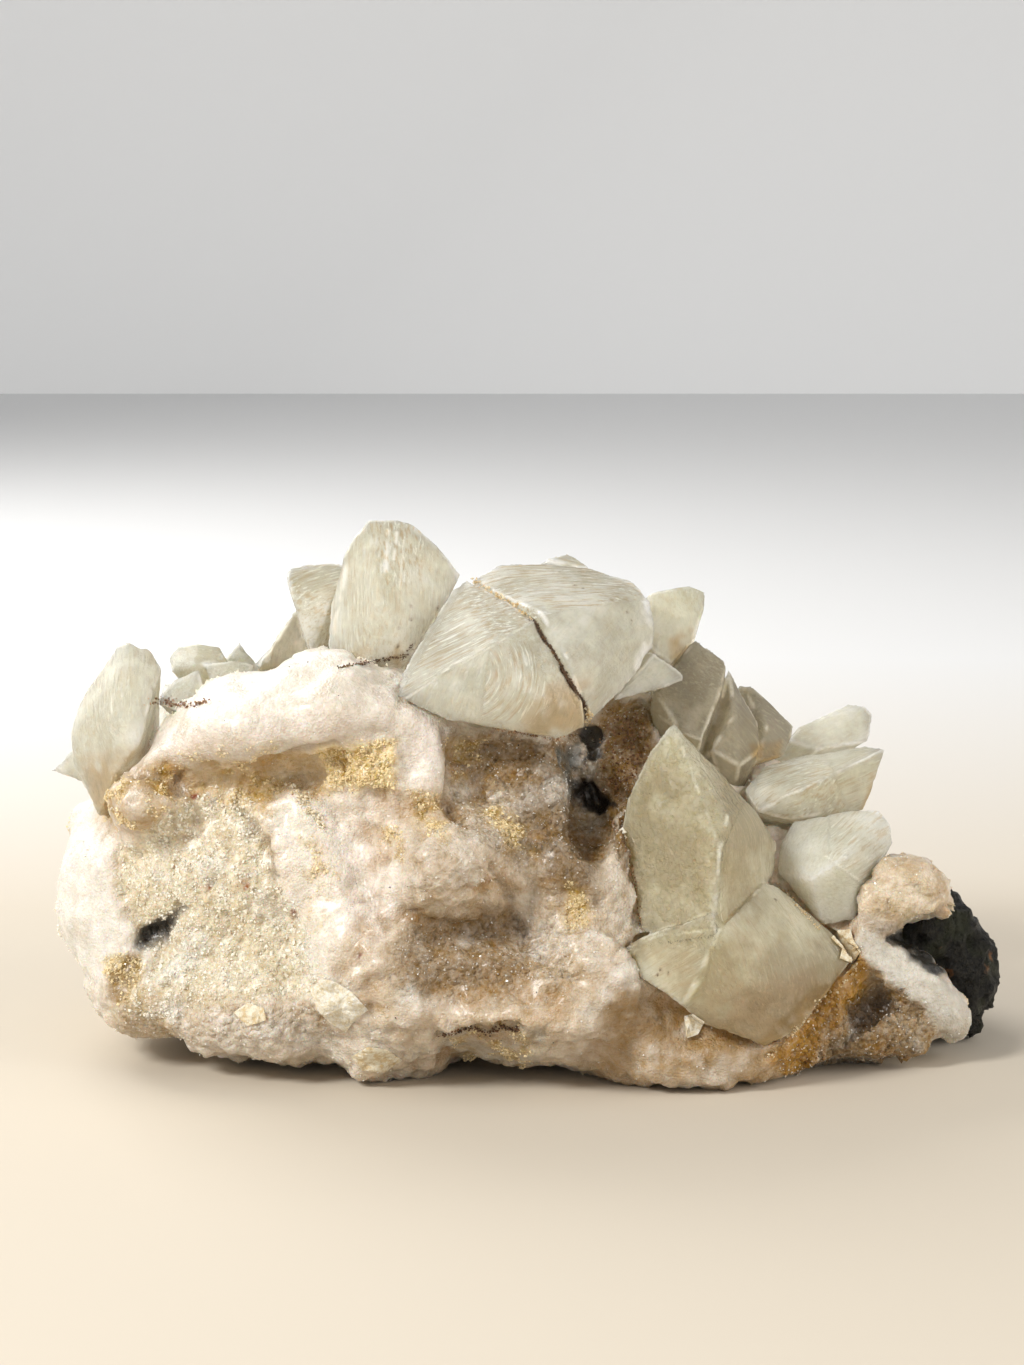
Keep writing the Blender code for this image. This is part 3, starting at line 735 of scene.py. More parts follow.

# Tints of the mass, laid one over the other: the outline in pixels, the fade of its line in pixels, the
# colour, and how strongly it covers. Some of them are painted shade or painted highlight, as marked.
TINTS = [
    ([(40, 760), (110, 790), (118, 850), (115, 900), (150, 950), (110, 980), (60, 960), (20, 880)],
     40, MILK, 0.7),
    ([(120, 700), (250, 660), (340, 655), (400, 690), (400, 725), (330, 730), (200, 745), (140, 745)], 30,
     (0.84, 0.78, 0.69), 0.9),
    # Painted shade: the shelf's lower band, darker where it turns under.
    ([(140, 735), (330, 715), (395, 715), (395, 738), (262, 765), (150, 765)], 24, (0.76, 0.68, 0.60), 0.8),
    # The recess under the shelf: brown-gold, with painted shade from the overhang.
    ([(150, 765), (262, 760), (330, 742), (335, 795), (262, 812), (160, 800)], 16, (0.62, 0.47, 0.28), 0.85),
    ([(95, 775), (150, 765), (190, 775), (195, 805), (160, 835), (105, 835)], 20, (0.42, 0.28, 0.13), 0.85),
    (SUGAR_OUTLINE, 14, (0.84, 0.75, 0.58), 1.0),
    # The golden crust under the shelf, painted brighter than its colour: a painted highlight where it catches
    # light.
    ([(318, 745), (402, 740), (400, 792), (335, 794)], 10, (1.0, 0.86, 0.58), 1.0),
    ([(100, 985), (190, 990), (240, 1005), (330, 1005), (330, 1040), (120, 1050)], 30, (0.58, 0.45, 0.29),
     0.7),
    ([(270, 790), (310, 785), (350, 850), (345, 960), (310, 980), (290, 900)], 20, (0.88, 0.83, 0.74), 0.8),
    ([(405, 700), (450, 712), (448, 790), (405, 795)], 20, (0.82, 0.75, 0.68), 0.85),
    ([(345, 800), (450, 790), (600, 800), (625, 1000), (560, 1060), (345, 1050), (335, 930)], 60,
     (0.66, 0.54, 0.40), 0.8),
    ([(335, 800), (400, 800), (405, 860), (400, 900), (370, 960), (330, 930)], 40, (0.90, 0.83, 0.75), 0.9),
    ([(400, 845), (450, 828), (500, 835), (510, 870), (480, 890), (410, 890)], 24, (0.66, 0.58, 0.48), 0.7),
    # Painted shadow: the band under the knuckle's lower edge.
    ([(400, 900), (450, 916), (505, 908), (525, 925), (505, 948), (440, 952), (400, 940)], 24,
     (0.26, 0.18, 0.10), 0.9),
    # Painted shade below the knuckle.
    ([(395, 945), (540, 950), (560, 990), (400, 1000)], 40, (0.27, 0.19, 0.11), 0.85),
    # Under the twin: brown druse, with painted shade from the twin's overhang.
    ([(450, 728), (500, 730), (578, 738), (590, 770), (575, 815), (520, 800), (455, 785)], 26,
     (0.31, 0.22, 0.13), 0.95),
    ([(455, 785), (575, 812), (560, 850), (520, 860), (450, 840)], 30, (0.54, 0.45, 0.34), 0.7),
    # Painted shade right of the knuckle, below the pocket.
    ([(520, 790), (575, 812), (605, 840), (600, 900), (560, 905), (525, 850)], 30, (0.20, 0.135, 0.07), 0.9),
    ([(540, 900), (610, 900), (640, 960), (600, 1010), (520, 1000)], 40, (0.66, 0.55, 0.42), 0.7),
    ([(180, 1010), (330, 1010), (420, 1050), (200, 1060)], 40, (0.84, 0.78, 0.70), 0.6),
    ([(600, 985), (700, 1000), (770, 1040), (780, 1085), (600, 1085)], 40, (0.36, 0.23, 0.10), 0.85),
    ([(180, 1055), (800, 1060), (800, 1090), (180, 1080)], 16, (0.58, 0.44, 0.28), 0.5),
    ([(440, 1030), (480, 1022), (545, 1032), (540, 1062), (450, 1068)], 12, (0.46, 0.42, 0.35), 0.8),
    # The pocket: brown earth, with painted shade in its depth.
    ([(600, 700), (665, 700), (645, 790), (628, 860), (600, 830), (596, 760)], 12, (0.30, 0.20, 0.09), 0.95),
    ([(556, 748), (580, 740), (578, 805), (562, 798)], 4, (0.10, 0.105, 0.095), 1.0),
    ([(855, 850), (930, 850), (958, 885), (950, 930), (880, 937), (850, 900)], 20, (0.72, 0.60, 0.43), 0.8),
    ([(860, 915), (900, 925), (955, 912), (958, 935), (880, 942)], 9, (0.42, 0.40, 0.37), 0.8),
    ([(800, 1000), (860, 960), (905, 985), (940, 1035), (930, 1075), (790, 1085)], 12, (0.38, 0.28, 0.17),
     0.95),
    ([(868, 950), (845, 965), (805, 1010), (765, 1062), (790, 1085), (825, 1040), (868, 985)], 12,
     (0.44, 0.24, 0.05), 0.95),
    (SLAB, 5, (0.66, 0.63, 0.56), 1.0),
]

# Dark places, laid over everything else: painted shade in the slot and the voids, and dark spots and patches
# of the rock.
DARK_TINTS = [
    ([(840, 1000), (880, 988), (898, 1010), (862, 1034)], 14, (0.10, 0.06, 0.03), 0.85),
    ([(884, 937), (915, 928), (950, 913), (985, 925), (970, 975), (935, 975), (905, 955)], 5,
     (0.02, 0.018, 0.014), 1.0),
    # Painted shade in the slot and its core.
    (SLOT, 9, (0.24, 0.22, 0.20), 0.9),
    (SLOT_CORE, 5, HOLE_SHADE_BLACK, 1.0),
    ([(128, 952), (142, 950), (136, 975), (118, 1003), (102, 1000), (108, 975)], 6, (0.30, 0.19, 0.08), 0.75),
    # Painted shade in the two voids.
    (HIGH_VOID, 3, HOLE_SHADE_BLACK, 1.0),
    (LOW_VOID, 3, HOLE_SHADE_BLACK, 1.0),
    ([(618, 820), (626, 816), (642, 860), (634, 864)], 5, (0.06, 0.035, 0.015), 0.9),
    ([(355, 955), (359, 955), (360, 960), (355, 961)], 3, (0.20, 0.05, 0.02), 1.0),
    ([(372, 971), (376, 972), (376, 976), (372, 976)], 3, (0.20, 0.05, 0.02), 1.0),
    ([(194, 794), (200, 793), (201, 799), (195, 800)], 3, (0.24, 0.05, 0.02), 1.0),
    ([(205, 885), (209, 884), (210, 890), (206, 891)], 3, (0.24, 0.06, 0.02), 1.0),
    ([(243, 884), (248, 883), (249, 889), (244, 890)], 3, (0.30, 0.08, 0.02), 1.0),
    ([(290, 912), (294, 911), (295, 916), (291, 917)], 3, (0.24, 0.05, 0.02), 1.0),
]

# Folds and cracks of the mass, as lines in pixels: pressed in, and painted with shade.
CREASES = [
    [(494, 866), (505, 880), (511, 900), (511, 912), (522, 930), (527, 948)],
    [(404, 908), (430, 922), (470, 926), (500, 918), (511, 905)],
    [(570, 870), (585, 890), (600, 905)],
    [(262, 762), (300, 750), (335, 745)],
    [(128, 772), (160, 778), (190, 790)],
    [(235, 800), (262, 838), (275, 880)],
    [(445, 730), (452, 760), (448, 800), (470, 830)],
    [(440, 1035), (460, 1030), (475, 1027), (488, 1033), (500, 1026), (520, 1030)],
    [(596, 800), (606, 830), (620, 850), (632, 862)],
]
CREASE_DEPTH = 0.9 * MM
CREASE_WIDTH = 1.6 * MM
FOLD_RAG = 0.4 * MM

# Outlines in pixels that lie deeper than their surroundings, or prouder where the depth is below 0:
# the outline, its depth in millimetres and the width of its slope in pixels.
LEDGES = [
    ([(140, 772), (200, 776), (262, 768), (330, 750), (345, 748), (345, 768), (330, 778), (262, 794),
      (150, 794)], 2.6, 12),
    ([(120, 772), (262, 768), (340, 748), (350, 830), (330, 850), (262, 840), (180, 830), (120, 820)],
     1.8, 44),
    (SUGAR_OUTLINE, 1.8, 12),
    (SLOT, 3, 6),
    (HIGH_VOID, 2.5, 5),
    (LOW_VOID, 2.5, 5),
    ([(455, 735), (500, 738), (575, 748), (578, 768), (500, 762), (455, 756)], 2.5, 12),
    ([(455, 735), (580, 745), (592, 812), (545, 832), (500, 815), (458, 790)], 4.5, 56),
    ([(405, 925), (450, 932), (505, 925), (548, 935), (540, 952), (505, 948), (450, 954), (410, 948)],
     1.2, 14),
    ([(395, 925), (560, 925), (570, 985), (480, 1005), (395, 990)], 1.4, 60),
    ([(503, 898), (510, 898), (530, 950), (522, 952)], 1, 14),
    ([(440, 1028), (480, 1022), (540, 1030), (545, 1040), (470, 1042)], 1.5, 6),
    ([(884, 937), (915, 928), (950, 913), (962, 960), (930, 964), (905, 950)], 6, 6),
    ([(845, 995), (880, 985), (900, 1015), (860, 1032)], 3, 14),
    ([(800, 1005), (860, 965), (895, 990), (925, 1015), (935, 1045), (925, 1075), (790, 1080)], 2.5, 12),
    (SLAB, -1.5, 8),
    ([(100, 990), (125, 955), (145, 950), (135, 990), (120, 1000)], 1, 6),
    ([(385, 1058), (430, 1050), (435, 1090), (380, 1090)], 4, 16),
    ([(322, 744), (402, 740), (398, 790), (336, 792)], -2.6, 24),
    ([(400, 850), (450, 825), (505, 832), (515, 880), (485, 916), (420, 912)], -6, 46),
    ([(400, 700), (450, 712), (450, 820), (380, 830)], -2, 44),
    ([(280, 788), (306, 786), (345, 850), (345, 900), (318, 880)], -1.6, 16),
    ([(130, 705), (330, 690), (392, 700), (392, 730), (262, 752), (150, 758)], -2.5, 26),
    ([(300, 1005), (560, 1000), (600, 1040), (330, 1050)], -1.5, 30),
    ([(520, 850), (580, 870), (620, 960), (560, 930)], -1.5, 30),
]

# Waxy places with little relief, and places that broke in flat chips: the outline and the fade of its line.
SMOOTH_OUTLINES = [
    ([(20, 830), (60, 775), (112, 800), (118, 850), (115, 900), (150, 950), (110, 985), (50, 960)], 30),
    ([(120, 700), (250, 660), (340, 655), (400, 690), (392, 738), (262, 760), (150, 765)], 20),
    (SLAB, 12),
    ([(280, 788), (310, 785), (350, 850), (345, 960), (315, 985), (290, 900)], 20),
    ([(408, 700), (450, 712), (448, 790), (408, 795)], 20),
]
CHIPPED_OUTLINES = [
    ([(843, 845), (930, 840), (966, 885), (960, 940), (880, 944), (846, 905)], 16),
    ([(800, 1000), (860, 960), (905, 985), (940, 1035), (930, 1078), (790, 1085)], 16),
]

BODY_CELL = 0.94 * MM
FLAKE_THICKNESS = 0.3 * MM
GRAIN_TILT = 0.6
GRAIN_STRAY = 0.35 * MM
GRAIN_VARIETY = 0.2


def carve_ledges(piece):
    """Presses the ledges in, away from the camera, where the surface faces it."""
    points = points_of(piece)
    pixels = wandering_pixels(points)
    depth = sum(roughly_inside(outline, pixels, fade) * deep * MM for outline, deep, fade in LEDGES)
    set_points(piece, points + np.outer(depth * facing(normals_of(piece)), np.array(VIEW_LINE)))


def within_crystals(points):
    """True for the points that lie inside a crystal."""
    within = np.zeros(len(points), bool)
    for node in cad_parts:
        if node != "chalcedony_body":
            corners = points_of(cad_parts[node])
            tree = cad_tree(node)
            near = np.all((points > corners.min(axis=0)) & (points < corners.max(axis=0)), axis=1)
            for index in np.nonzero(near)[0]:
                point = Vector(points[index])
                place, normal, _, _ = tree.find_nearest(point)
                within[index] |= (point - place).dot(normal) < 0
    return within


# Relief of the mass: how wide its forms are, how far other forms bend them, and their heights in millimetres.
LUMP_SIZE = 7 * MM
BOULDER_SIZE = 13 * MM
BOULDER_WARP = 2 * MM
BOULDER_HEIGHT = 2.6
KNOB_SIZE = 4.2 * MM
KNOB_WARP = 0.8 * MM
KNOB_HEIGHT = 0.9
CLEFT_DEPTH = 0.4
ROUGH_SIZE = 3 * MM
PIMPLE_SIZE = 1.9 * MM
PIMPLE_HEIGHT = 0.22
COARSE_HEIGHT = 0.16
SMOOTHING = 0.75

CREAM = (0.85, 0.80, 0.71)
ROSE = (0.82, 0.73, 0.62)
# Brown staining in the hollows, laid on deeper as painted shade.
HOLLOW_STAIN_AND_SHADE = (0.44, 0.27, 0.12)
GOLD = (0.80, 0.58, 0.26)
# Painted shade in the creases.
CREASE_SHADE = (0.26, 0.17, 0.09)
SUGAR = (0.84, 0.75, 0.58)


def laid_over(colours, share, colour):
    return colours + (np.array(colour) - colours) * share[:, None]


def painted(colours, tints, pixels, front):
    """The colours with outlined tints laid over them, one after the other."""
    for outline, fade, colour, share in tints:
        colours = laid_over(colours, front * roughly_inside(outline, pixels, fade) * share, colour)
    return colours


def mass_forms(points):
    """The patterns that both shape and tint the mass."""
    rough = swells(points, ROUGH_SIZE, 11, 3)
    lumps = swells(points, LUMP_SIZE, 3, 3)
    knob, border = knobs(points + KNOB_WARP * np.stack([rough] * 3, axis=1), KNOB_SIZE, 7)
    boulder = knobs(points + BOULDER_WARP * np.stack([lumps] * 3, axis=1), BOULDER_SIZE, 17)[0]
    return {
        "rough": rough, "lumps": lumps, "pimples": swells(points, PIMPLE_SIZE, 4, 2), "knobs": 0.45 - knob,
        "clefts": 1 - step_up(border - knob, 0, 0.35), "boulders": 0.5 - boulder,
    }


def mass_coats(points, pixels, front, rough):
    """How sugary, how crusty and how smooth the mass is at each point."""
    away = (1 - front) * step_up(swells(points, 26 * MM, 31, 2), 0.15, 0.4)
    sugar = np.maximum(front * roughly_inside(SUGAR_OUTLINE, pixels, 16), away)
    gold = front * covered(GOLD_OUTLINES, pixels)
    pale = front * covered(PALE_GOLD_OUTLINES, pixels)
    pale = np.maximum(pale, (1 - front) * step_up(swells(points, 18 * MM, 37, 2), 0.25, 0.6))
    crust = np.maximum(gold * step_up(rough, -0.9, 0), pale * step_up(rough, -0.2, 0.6) * 0.8)
    return sugar, crust, front * covered(SMOOTH_OUTLINES, pixels)


def mass_relief(points, forms, coarse, smooth, chipped):
    """Heights of the mass's small forms, in millimetres."""
    relief = forms["lumps"] + BOULDER_HEIGHT * forms["boulders"]
    relief = relief + KNOB_HEIGHT * forms["knobs"] - CLEFT_DEPTH * forms["clefts"]
    relief += (PIMPLE_HEIGHT + COARSE_HEIGHT * coarse) * forms["pimples"]
    relief *= 1 - SMOOTHING * smooth
    facets = 1.5 * chips(points, 8 * MM, 51) + 0.7 * chips(points, 3.5 * MM, 53) + 0.15 * forms["pimples"]
    return relief + (facets - relief) * chipped


def mass_colours(points, pixels, front, forms, sugar, crust, smooth, fold):
    """The mass's tint at each point, with painted shade in its hollows and creases and painted highlight on
    its swells.
    """
    lumps, pimples, boulders = forms["lumps"], forms["pimples"], forms["boulders"]
    low = step_up(-(lumps + 0.6 * pimples + 1.2 * boulders), 0.1, 1.2)
    high = step_up(lumps + 0.5 * pimples + 1.2 * boulders, 0.3, 1.4)
    hollow = np.clip(0.8 * low + 0.25 * forms["clefts"], 0, 1) * (1 - 0.7 * smooth) * (1 - 0.6 * sugar)
    colours = np.tile(CREAM, (len(points), 1))
    colours = laid_over(colours, step_up(swells(points, 22 * MM, 41, 3), -0.3, 0.7), ROSE)
    colours = painted(colours, TINTS, pixels, front)
    for share, colour in (
        ((1 - front) * sugar, SUGAR),
        (step_up(swells(points, 6 * MM, 43, 3), 0.2, 0.9) * 0.4, MILK),
        (sugar * step_up(-pimples, 0.6, 1.1) * 0.35, PIT_BROWN),
        (crust * 0.6, GOLD),
        # Hollows: brown staining, deepened as painted shade.
        (hollow * 0.6, HOLLOW_STAIN_AND_SHADE),
        # Tops of the swells made whiter: partly milky skin, partly painted highlight.
        (high * 0.5, MILK),
        # Painted shade along the creases.
        (fold * 0.5, CREASE_SHADE),
    ):
        colours = laid_over(colours, share, colour)
    return painted(colours, DARK_TINTS, pixels, front)


def chalcedony_mass(material):
    """The dressed chalcedony, and what the grains on it need to know."""
    piece = copy_of_node("chalcedony_body", "chalcedony_mass")
    apply_modifier(piece, "REMESH", mode="VOXEL", voxel_size=BODY_CELL)
    apply_modifier(piece, "SMOOTH", factor=0.5, iterations=5)
    carve_ledges(piece)
    apply_modifier(piece, "REMESH", mode="VOXEL", voxel_size=BODY_CELL)
    apply_modifier(piece, "SMOOTH", factor=0.5, iterations=2)
    points = points_of(piece)
    pixels = wandering_pixels(points)
    front = facing(normals_of(piece))
    forms = mass_forms(points)
    sugar, crust, smooth = mass_coats(points, pixels, front, forms["rough"])
    chipped = front * covered(CHIPPED_OUTLINES, pixels)
    relief = mass_relief(points, forms, np.maximum(sugar, crust), smooth, chipped)
    tree = tree_of(piece)
    folds = [place for path in CREASES for place in line_on(path, [tree])]
    fold = 1 - step_up(distance_to(points, folds) + FOLD_RAG * forms["rough"], 0, CREASE_WIDTH)
    push_out(piece, relief * MM - CREASE_DEPTH * fold)
    keep_above_floor(piece)

    colours = mass_colours(points, pixels, front, forms, sugar, crust, smooth, fold)
    set_tint(piece, colours)
    drusy = front * np.max([
        roughly_inside(outline, pixels, fade) * share for outline, fade, share in DRUSY_OUTLINES
    ], axis=0)
    drusy = np.clip(np.maximum(drusy, np.maximum(0.5 * sugar, crust)), DRUSY_AT_REST, 1)
    drusy *= step_up(colours.max(axis=1), 0.04, 0.16)
    set_mark(piece, "drusy", drusy)
    shade_smooth(piece)
    piece.data.materials.append(material)
    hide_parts("chalcedony_body")
    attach(piece, "root")
    open_air = (1 - within_crystals(points)) * step_up(colours.max(axis=1), 0.05, 0.2)
    return piece, {
        "sugar": sugar * open_air, "crust": crust * open_air, "open": open_air,
        "drusy": drusy, "tint": colours,
    }


# Grains and crumbs.

def grain_shape():
    """Corners and faces of one small crystal: a four-sided stub about 1 across that leans to a point."""
    bpy.ops.object.select_all(action="DESELECT")
    bpy.ops.mesh.primitive_cone_add(vertices=4, radius1=0.45, radius2=0, depth=0.7, end_fill_type="NGON")
    stub = bpy.context.object
    for vert in stub.data.vertices:
        vert.select = vert.co.z > 0
    bpy.ops.object.mode_set(mode="EDIT")
    bpy.ops.transform.translate(value=(0.16, 0.07, 0))
    bpy.ops.mesh.select_all(action="SELECT")
    bpy.ops.mesh.quads_convert_to_tris()
    bpy.ops.object.mode_set(mode="OBJECT")
    corners = points_of(stub)
    faces = np.array([list(face.vertices) for face in stub.data.polygons])
    bpy.data.objects.remove(stub)
    return corners, faces


def unit(vectors):
    return vectors / np.linalg.norm(vectors, axis=1, keepdims=True)


def scattered(name, shape, places, normals, sizes, colours, material, seed):
    """One piece of many copies of a shape, each turned, stretched and tinted its own way."""
    chance = np.random.default_rng(seed)
    corners, faces = shape
    count = len(places)
    up = unit(normals + chance.normal(0, GRAIN_TILT, (count, 3)))
    side = unit(np.cross(up, chance.normal(size=(count, 3))))
    ahead = np.cross(up, side)
    local = corners[None] * (sizes[:, None] * chance.uniform(0.7, 1.35, (count, 3)))[:, None, :]
    placed = places[:, None] + local[..., :1] * side[:, None] + local[..., 1:2] * ahead[:, None]
    placed = (placed + local[..., 2:] * up[:, None]).reshape(-1, 3)
    rows = (faces[None] + np.arange(count)[:, None, None] * len(corners)).reshape(-1, 3)
    mesh = bpy.data.meshes.new(name)
    mesh.from_pydata(placed.tolist(), [], rows.tolist())
    piece = new_object(name, mesh)
    shades = colours * chance.uniform(0.88, 1.08, (count, 1))
    set_tint(piece, np.repeat(np.clip(shades, 0, 0.95), len(corners), axis=0))
    keep_above_floor(piece)
    mesh.materials.append(material)
    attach(piece, "root")


def dress_mass(mass, marks, grain):
    """The druse, golden crumbs, sparkles and pepper on the chalcedony."""
    points, normals = points_of(mass), normals_of(mass)
    druse = grain_material("druse", 0.4)
    sparkle = grain_material("quartz_sparkle", 0.2)
    # Where they sit, how many, their size in millimetres, their own colour and how much of it they show.
    sorts = (
        ("druse_grains", marks["sugar"] ** 2, 16500, (0.4, 1.1), (0.98, 0.93, 0.81), 0.7, druse),
        ("golden_crumbs", marks["crust"] ** 2, 7000, (0.3, 0.95), (0.94, 0.77, 0.45), 0.65, druse),
        ("sparkles", marks["open"] * marks["drusy"], 13000, (0.22, 0.6), (0.96, 0.94, 0.88), 0.5, sparkle),
        ("pepper", marks["open"], 300, (0.25, 0.5), (0.03, 0.02, 0.012), 1.0, druse),
    )
    for seed, (name, weights, count, (small, large), own, share, material) in enumerate(sorts):
        chance = np.random.default_rng(seed)
        picked = chance.choice(len(points), count, p=weights / weights.sum())
        up = normals[picked]
        aside = chance.normal(0, GRAIN_STRAY, (count, 3))
        aside -= up * np.sum(aside * up, axis=1, keepdims=True)
        sizes = chance.uniform(small, large, count) * MM
        shares = np.clip(chance.normal(share, GRAIN_VARIETY, count), 0, 1)
        colours = laid_over(marks["tint"][picked], shares, own)
        scattered(name, grain, points[picked] + aside, up, sizes, colours, material, seed)


# Thin flakes of calcite that cling to the rock: their outline in pixels, how far they stand off in
# millimetres, and their look.
FLAKES = {
    "golden_flake": ([(831, 937), (838, 930), (850, 929), (853, 940), (860, 952), (852, 963), (840, 958),
                      (842, 948)], 0.9, "gold"),
    "foot_flake": ([(684, 1016), (692, 1014), (704, 1022), (698, 1034), (687, 1038)], 0.5, "pale"),
    "left_flake": ([(311, 990), (322, 978), (336, 982), (352, 992), (368, 1010), (356, 1018), (346, 1032),
                    (330, 1022), (318, 1010)], 0.35, "pale"),
    "low_flake": ([(234, 1012), (248, 1003), (264, 1008), (266, 1020), (248, 1026)], 0.2, "gold"),
    "base_flake": ([(352, 1056), (368, 1047), (388, 1050), (402, 1060), (384, 1072), (362, 1070)],
                   0.2, "gold"),
}
FLAKE_CUTS = 9
CRUMPLE_HEIGHT = 0.35
CRUMPLE_SIZE = 2.5 * MM


def flake(name, outline, stand_off, trees, material):
    """A thin, crumpled plate that follows the rock behind it."""
    rim = touched(outline, trees)
    bpy.ops.object.select_all(action="DESELECT")
    bpy.ops.mesh.primitive_circle_add(vertices=len(rim), fill_type="TRIFAN")
    piece = bpy.context.object
    piece.name = name
    corners = [*rim, sum(rim, Vector()) / len(rim)]
    order = sorted(range(len(corners)), key=lambda index: piece.data.vertices[index].co.length < 0.5)
    for corner, index in zip(corners, order):
        piece.data.vertices[index].co = corner
    edit_all(piece, bpy.ops.mesh.subdivide, number_cuts=FLAKE_CUTS)
    points = points_of(piece)
    pixels = photo_pixels(points)
    lift = (stand_off + CRUMPLE_HEIGHT * swells(points, CRUMPLE_SIZE, 61, 3)) * MM
    for index, pixel in enumerate(pixels):
        place = touch(pixel, trees)
        if place is not None:
            points[index] = np.array(place) - np.array(VIEW_LINE) * lift[index]
    set_points(piece, points)
    apply_modifier(piece, "SOLIDIFY", thickness=FLAKE_THICKNESS, offset=0)
    edit_all(piece, bpy.ops.mesh.normals_make_consistent, inside=False)
    piece.data.materials.append(material)
    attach(piece, "root")


TWIN_SEAM_PALE = [(468, 580), (480, 583), (490, 592), (500, 598), (510, 603), (520, 612), (533, 620)]
TWIN_SEAM_DARK = [(533, 620), (545, 640), (555, 655), (563, 670), (572, 685), (582, 700), (586, 710)]
TWIN_SEAM_FOOT = [(586, 710), (588, 715), (587, 727)]

# Dirt and crumbs caught where crystals meet: the line in pixels, crumbs on it, how far they stray and
# their size in millimetres, and their colour.
CRUMB_LINES = {
    "twin_seam_gold": (TWIN_SEAM_PALE, 200, 0.3, (0.25, 0.75), "gold"),
    "twin_seam_dark": (TWIN_SEAM_DARK, 900, 0.12, (0.25, 0.6), "dark"),
    "twin_seam_foot": (TWIN_SEAM_FOOT, 120, 0.5, (0.25, 0.7), "gold"),
    "twin_base": ([(495, 728), (515, 731), (530, 735), (555, 738), (578, 735)], 200, 0.3, (0.2, 0.6),
                  "brown"),
    "tall_base": ([(338, 668), (345, 667), (360, 664), (395, 657), (405, 655), (414, 643)],
                  260, 0.25, (0.2, 0.55), "dark"),
    "notch_dirt": ([(150, 703), (160, 699), (175, 706), (195, 706), (210, 700)], 220, 0.4, (0.25, 0.7),
                   "brown"),
    "high_shard": ([(290, 786), (300, 797), (311, 811), (325, 829)], 260, 0.4, (0.3, 0.9), "cream"),
    "pocket_crumbs": ([(612, 720), (625, 735), (632, 760), (618, 790), (612, 740), (640, 720), (628, 800)],
                      700, 1.6,
                      (0.25, 0.8), "brown"),
    "inclusion": ([(440, 1035), (460, 1030), (475, 1027), (488, 1033), (500, 1026), (520, 1030)], 260, 0.3,
                  (0.25, 0.7), "dark"),
    "round_base": ([(777, 883), (786, 893), (795, 905), (808, 918), (820, 930)], 120, 0.3, (0.2, 0.5),
                   "gold"),
    "tooth_side": ([(612, 822), (620, 836), (630, 858), (640, 900), (642, 932)], 180, 0.35, (0.2, 0.6),
                   "brown"),
    "lower_rim": ([(862, 962), (840, 985), (815, 1005), (790, 1035), (768, 1058)], 180, 0.5, (0.2, 0.7),
                  "gold"),
}


CRUMB_COLOURS = {
    "cream": ((0.94, 0.90, 0.78), (0.80, 0.66, 0.42)),
    "gold": ((0.90, 0.80, 0.58), (0.60, 0.38, 0.13)),
    "brown": ((0.36, 0.20, 0.09), (0.12, 0.05, 0.02)),
    "dark": ((0.035, 0.018, 0.01), (0.16, 0.075, 0.03)),
}


FIRST_CRUMB_SEED = 50


def crumb_lines(grain, trees):
    material = grain_material("crumbs", 0.5)
    for seed, name in enumerate(CRUMB_LINES, FIRST_CRUMB_SEED):
        path, count, stray, (small, large), look = CRUMB_LINES[name]
        chance = np.random.default_rng(seed)
        line = np.array(line_on(path, trees))
        places = line[chance.integers(0, len(line), count)] + chance.normal(0, stray * MM, (count, 3))
        normals = np.tile(-np.array(VIEW_LINE), (count, 1))
        sizes = chance.uniform(small, large, count) * MM
        first, second = CRUMB_COLOURS[look]
        colours = laid_over(np.tile(first, (count, 1)), chance.uniform(0, 1, count), second)
        scattered(name, grain, places, normals, sizes, colours, material, seed)


BASALT_CELL = 0.7 * MM


def basalt_piece(material):
    piece = copy_of_node("basalt_remnant", "basalt_face")
    apply_modifier(piece, "REMESH", mode="VOXEL", voxel_size=BASALT_CELL)
    apply_modifier(piece, "SMOOTH", factor=0.5, iterations=3)
    points = points_of(piece)
    facets = 1.3 * chips(points, 6 * MM, 57) + 0.7 * chips(points, 2.6 * MM, 59)
    push_out(piece, MM * (facets + 0.25 * swells(points, 2 * MM, 21, 3)))
    keep_above_floor(piece)
    shade_smooth(piece)
    piece.data.materials.append(material)
    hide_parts("basalt_remnant")
    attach(piece, "root")


# Stage, lights and camera.

def stage_plane(name, size, place, turn, material):
    bpy.ops.object.select_all(action="DESELECT")
    bpy.ops.mesh.primitive_plane_add(size=size, location=place, rotation=turn)
    plane = bpy.context.object
    plane.name = name
    plane.data.materials.append(material)


def stage_material(name, near, far):
    """Matt and pale, from one colour beside the specimen to another behind it."""
    material, tree, shader = new_material(name, roughness=0.9)
    back = add_node(tree, "ShaderNodeSeparateXYZ", inputs={"Vector": object_place(tree)}).outputs["Y"]
    feed(tree, shader, base_color=blend(tree, rise(tree, back, 0.1, 0.45), near, far))
    return material


def area_light(name, place, size, power, colour):
    data = bpy.data.lights.new(name, "AREA")
    data.size = size
    data.energy = power
    data.color = colour
    light = new_object(name, data)
    light.location = place
    light.rotation_euler = (AIM - Vector(place)).to_track_quat("-Z", "Y").to_euler()


def photo_camera():
    data = bpy.data.cameras.new("photo_camera")
    data.sensor_width = SENSOR_MM
    data.lens = SENSOR_MM * FOCAL_PIXELS / PHOTO_HEIGHT_PIXELS
    camera = new_object("photo_camera", data)
    camera.location = CAMERA_PLACE
    camera.rotation_euler = VIEW_LINE.to_track_quat("-Z", "Y").to_euler()
    bpy.context.scene.camera = camera


